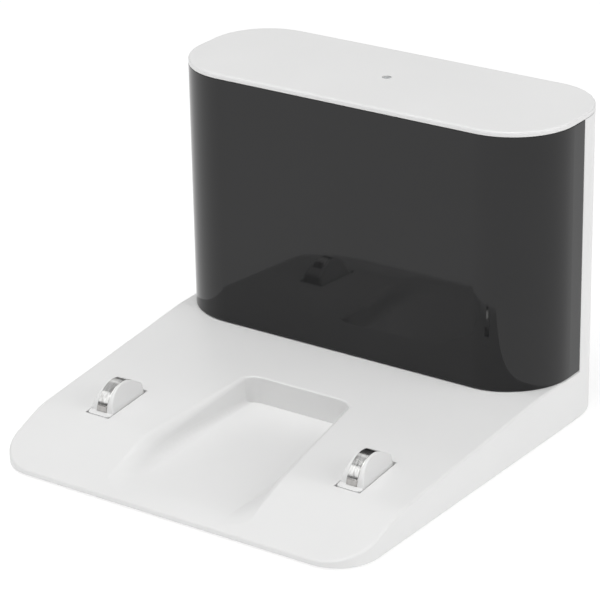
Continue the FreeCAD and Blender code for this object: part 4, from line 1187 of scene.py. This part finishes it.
@dataclass
class PowerSupply(SubAssembly):
    """Board that makes the charging voltage, with its parts."""

    sleeve: Colour = (0.028, 0.040, 0.10)
    stripe: Colour = (0.55, 0.57, 0.60)

    def dress(self) -> None:
        """Gives the board and its parts their finishes."""
        BOARD_GREEN.dress("power_board")
        SCREW_STEEL.dress("board_screws")
        FERRITE.dress("transformer_core")
        COIL_TAPE.dress("transformer_winding")
        COIL_COPPER.dress("line_choke")
        sleeve = CanSleeve("can_sleeve", self.sleeve, self.stripe, top_y=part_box("bulk_capacitor")[0][1])
        sleeve.dress("bulk_capacitor", "output_capacitors")
        FUSE_CASE.dress("fuse")
        CHIP_EPOXY.dress("bridge_rectifier", "power_switch")
        SINK_ALUMINIUM.dress("heat_sink")
        LED_LENS.dress("status_led")


@dataclass
class Beacon(SubAssembly):
    """Homing beacon behind the window."""

    def dress(self) -> None:
        """Gives the bracket, board and emitters their finishes."""
        BLACK_PLASTIC.dress("beacon_bracket")
        BOARD_GREEN.dress("beacon_board")
        SCREW_STEEL.dress("beacon_screws")
        EMITTER_LENS.dress("ir_emitters")
        LEAD_BLACK.dress("beacon_lead")


# -------- studio


@dataclass(frozen=True)
class SoftBox:
    """A square area light aimed at the dock; angles in degrees, power in watts."""

    name: str
    azimuth: float
    elevation: float
    distance: float
    side: float
    power: float

    def build(self, target: Vector) -> None:
        """Places the light.

        Args:
            target: The point it is aimed at.
        """
        out = outward(math.radians(self.azimuth), math.radians(self.elevation))
        lamp = bpy.data.lights.new(self.name, "AREA")
        lamp.shape = "SQUARE"
        lamp.size = self.side
        lamp.energy = self.power
        holder = bpy.data.objects.new(self.name, lamp)
        bpy.context.scene.collection.objects.link(holder)
        turn = out.to_track_quat("Z", "Y").to_matrix().to_4x4()
        holder.matrix_world = Matrix.Translation(target + out * self.distance) @ turn


@dataclass
class Studio:
    """Camera, floor and soft light; angles in degrees, lens, sensor and aim in millimetres."""

    azimuth: float = 34.92
    elevation: float = 23.566
    roll: float = -1.108
    distance: float = 846.41 * MM
    focal: float = 173.32
    sensor: float = 36.0
    clip: tuple[float, float] = (0.05, 50.0)
    aim: tuple[float, float, float] = (-6.805, 8.881, 36.738)
    sky: float = 0.15
    floor_size: float = 40.0
    floor_colour: float = 0.50
    floor_glow: float = 0.60
    boxes: tuple[SoftBox, ...] = (
        SoftBox("key", 8.0, 71.0, 1.6, 1.4, 20.6),
        SoftBox("right", 98.0, 24.0, 1.5, 1.0, 7.2),
        SoftBox("back", 205.0, 40.0, 1.6, 1.2, 2.0),
        SoftBox("glint", -45.0, 34.0, 1.5, 0.9, 2.5),
        SoftBox("left", -105.0, 50.0, 1.6, 1.5, 2.2),
    )

    def build(self) -> None:
        """Makes the camera, lights, sky and floor."""
        scene = bpy.context.scene
        scene.view_settings.view_transform = "Standard"
        world = bpy.data.worlds.new("studio")
        world.use_nodes = True
        background = world.node_tree.nodes["Background"].inputs
        background["Color"].default_value = WHITE
        background["Strength"].default_value = self.sky
        scene.world = world
        target = Vector(self.aim) * MM
        for box in self.boxes:
            box.build(target)
        self.place_camera(target)
        self.lay_floor()

    def place_camera(self, target: Vector) -> None:
        """Sets the camera up.

        Args:
            target: The point in the middle of its view.
        """
        azimuth, roll = math.radians(self.azimuth), math.radians(self.roll)
        back = outward(azimuth, math.radians(self.elevation))
        right = Vector((math.cos(azimuth), math.sin(azimuth), 0.0))
        up = back.cross(right)
        rolled_right = right * math.cos(roll) + up * math.sin(roll)
        rolled_up = up * math.cos(roll) - right * math.sin(roll)
        camera = bpy.data.cameras.new("camera")
        camera.lens = self.focal
        camera.sensor_width = self.sensor
        camera.clip_start, camera.clip_end = self.clip
        holder = bpy.data.objects.new("camera", camera)
        bpy.context.scene.collection.objects.link(holder)
        place = Matrix((rolled_right, rolled_up, back)).transposed().to_4x4()
        place.translation = target + back * self.distance
        holder.matrix_world = place
        bpy.context.scene.camera = holder

    def lay_floor(self) -> None:
        """Lays the pale floor."""
        Workpiece.clear()
        bpy.ops.mesh.primitive_plane_add(size=self.floor_size, location=(0.0, 0.0, 0.0))
        floor = bpy.context.object
        floor.name = "floor"
        graph = Graph("floor")
        pale = self.floor_colour
        graph.colour(graph.ramp(graph.noise(3.0, 2.0), (pale * 0.99,) * 3, (pale,) * 3))
        graph.set(Roughness=0.95, Specular_IOR_Level=0.1, Emission_Color=WHITE,
                  Emission_Strength=self.floor_glow)
        floor.data.materials.append(graph.material)


def main() -> None:
    """Builds the studio and the dock's sub-assemblies in order."""
    logging.basicConfig(level=logging.INFO, format="%(name)s: %(message)s")
    Studio().build()
    for part in (Casing(), BayCover(), ContactStrip(), ContactSpring(), Underside(), CordBay(),
                 PowerSupply(), Beacon()):
        part.build()
        part.dress()
        LOG.info("%s dressed", type(part).__name__)


if __name__ == "__main__":
    main()
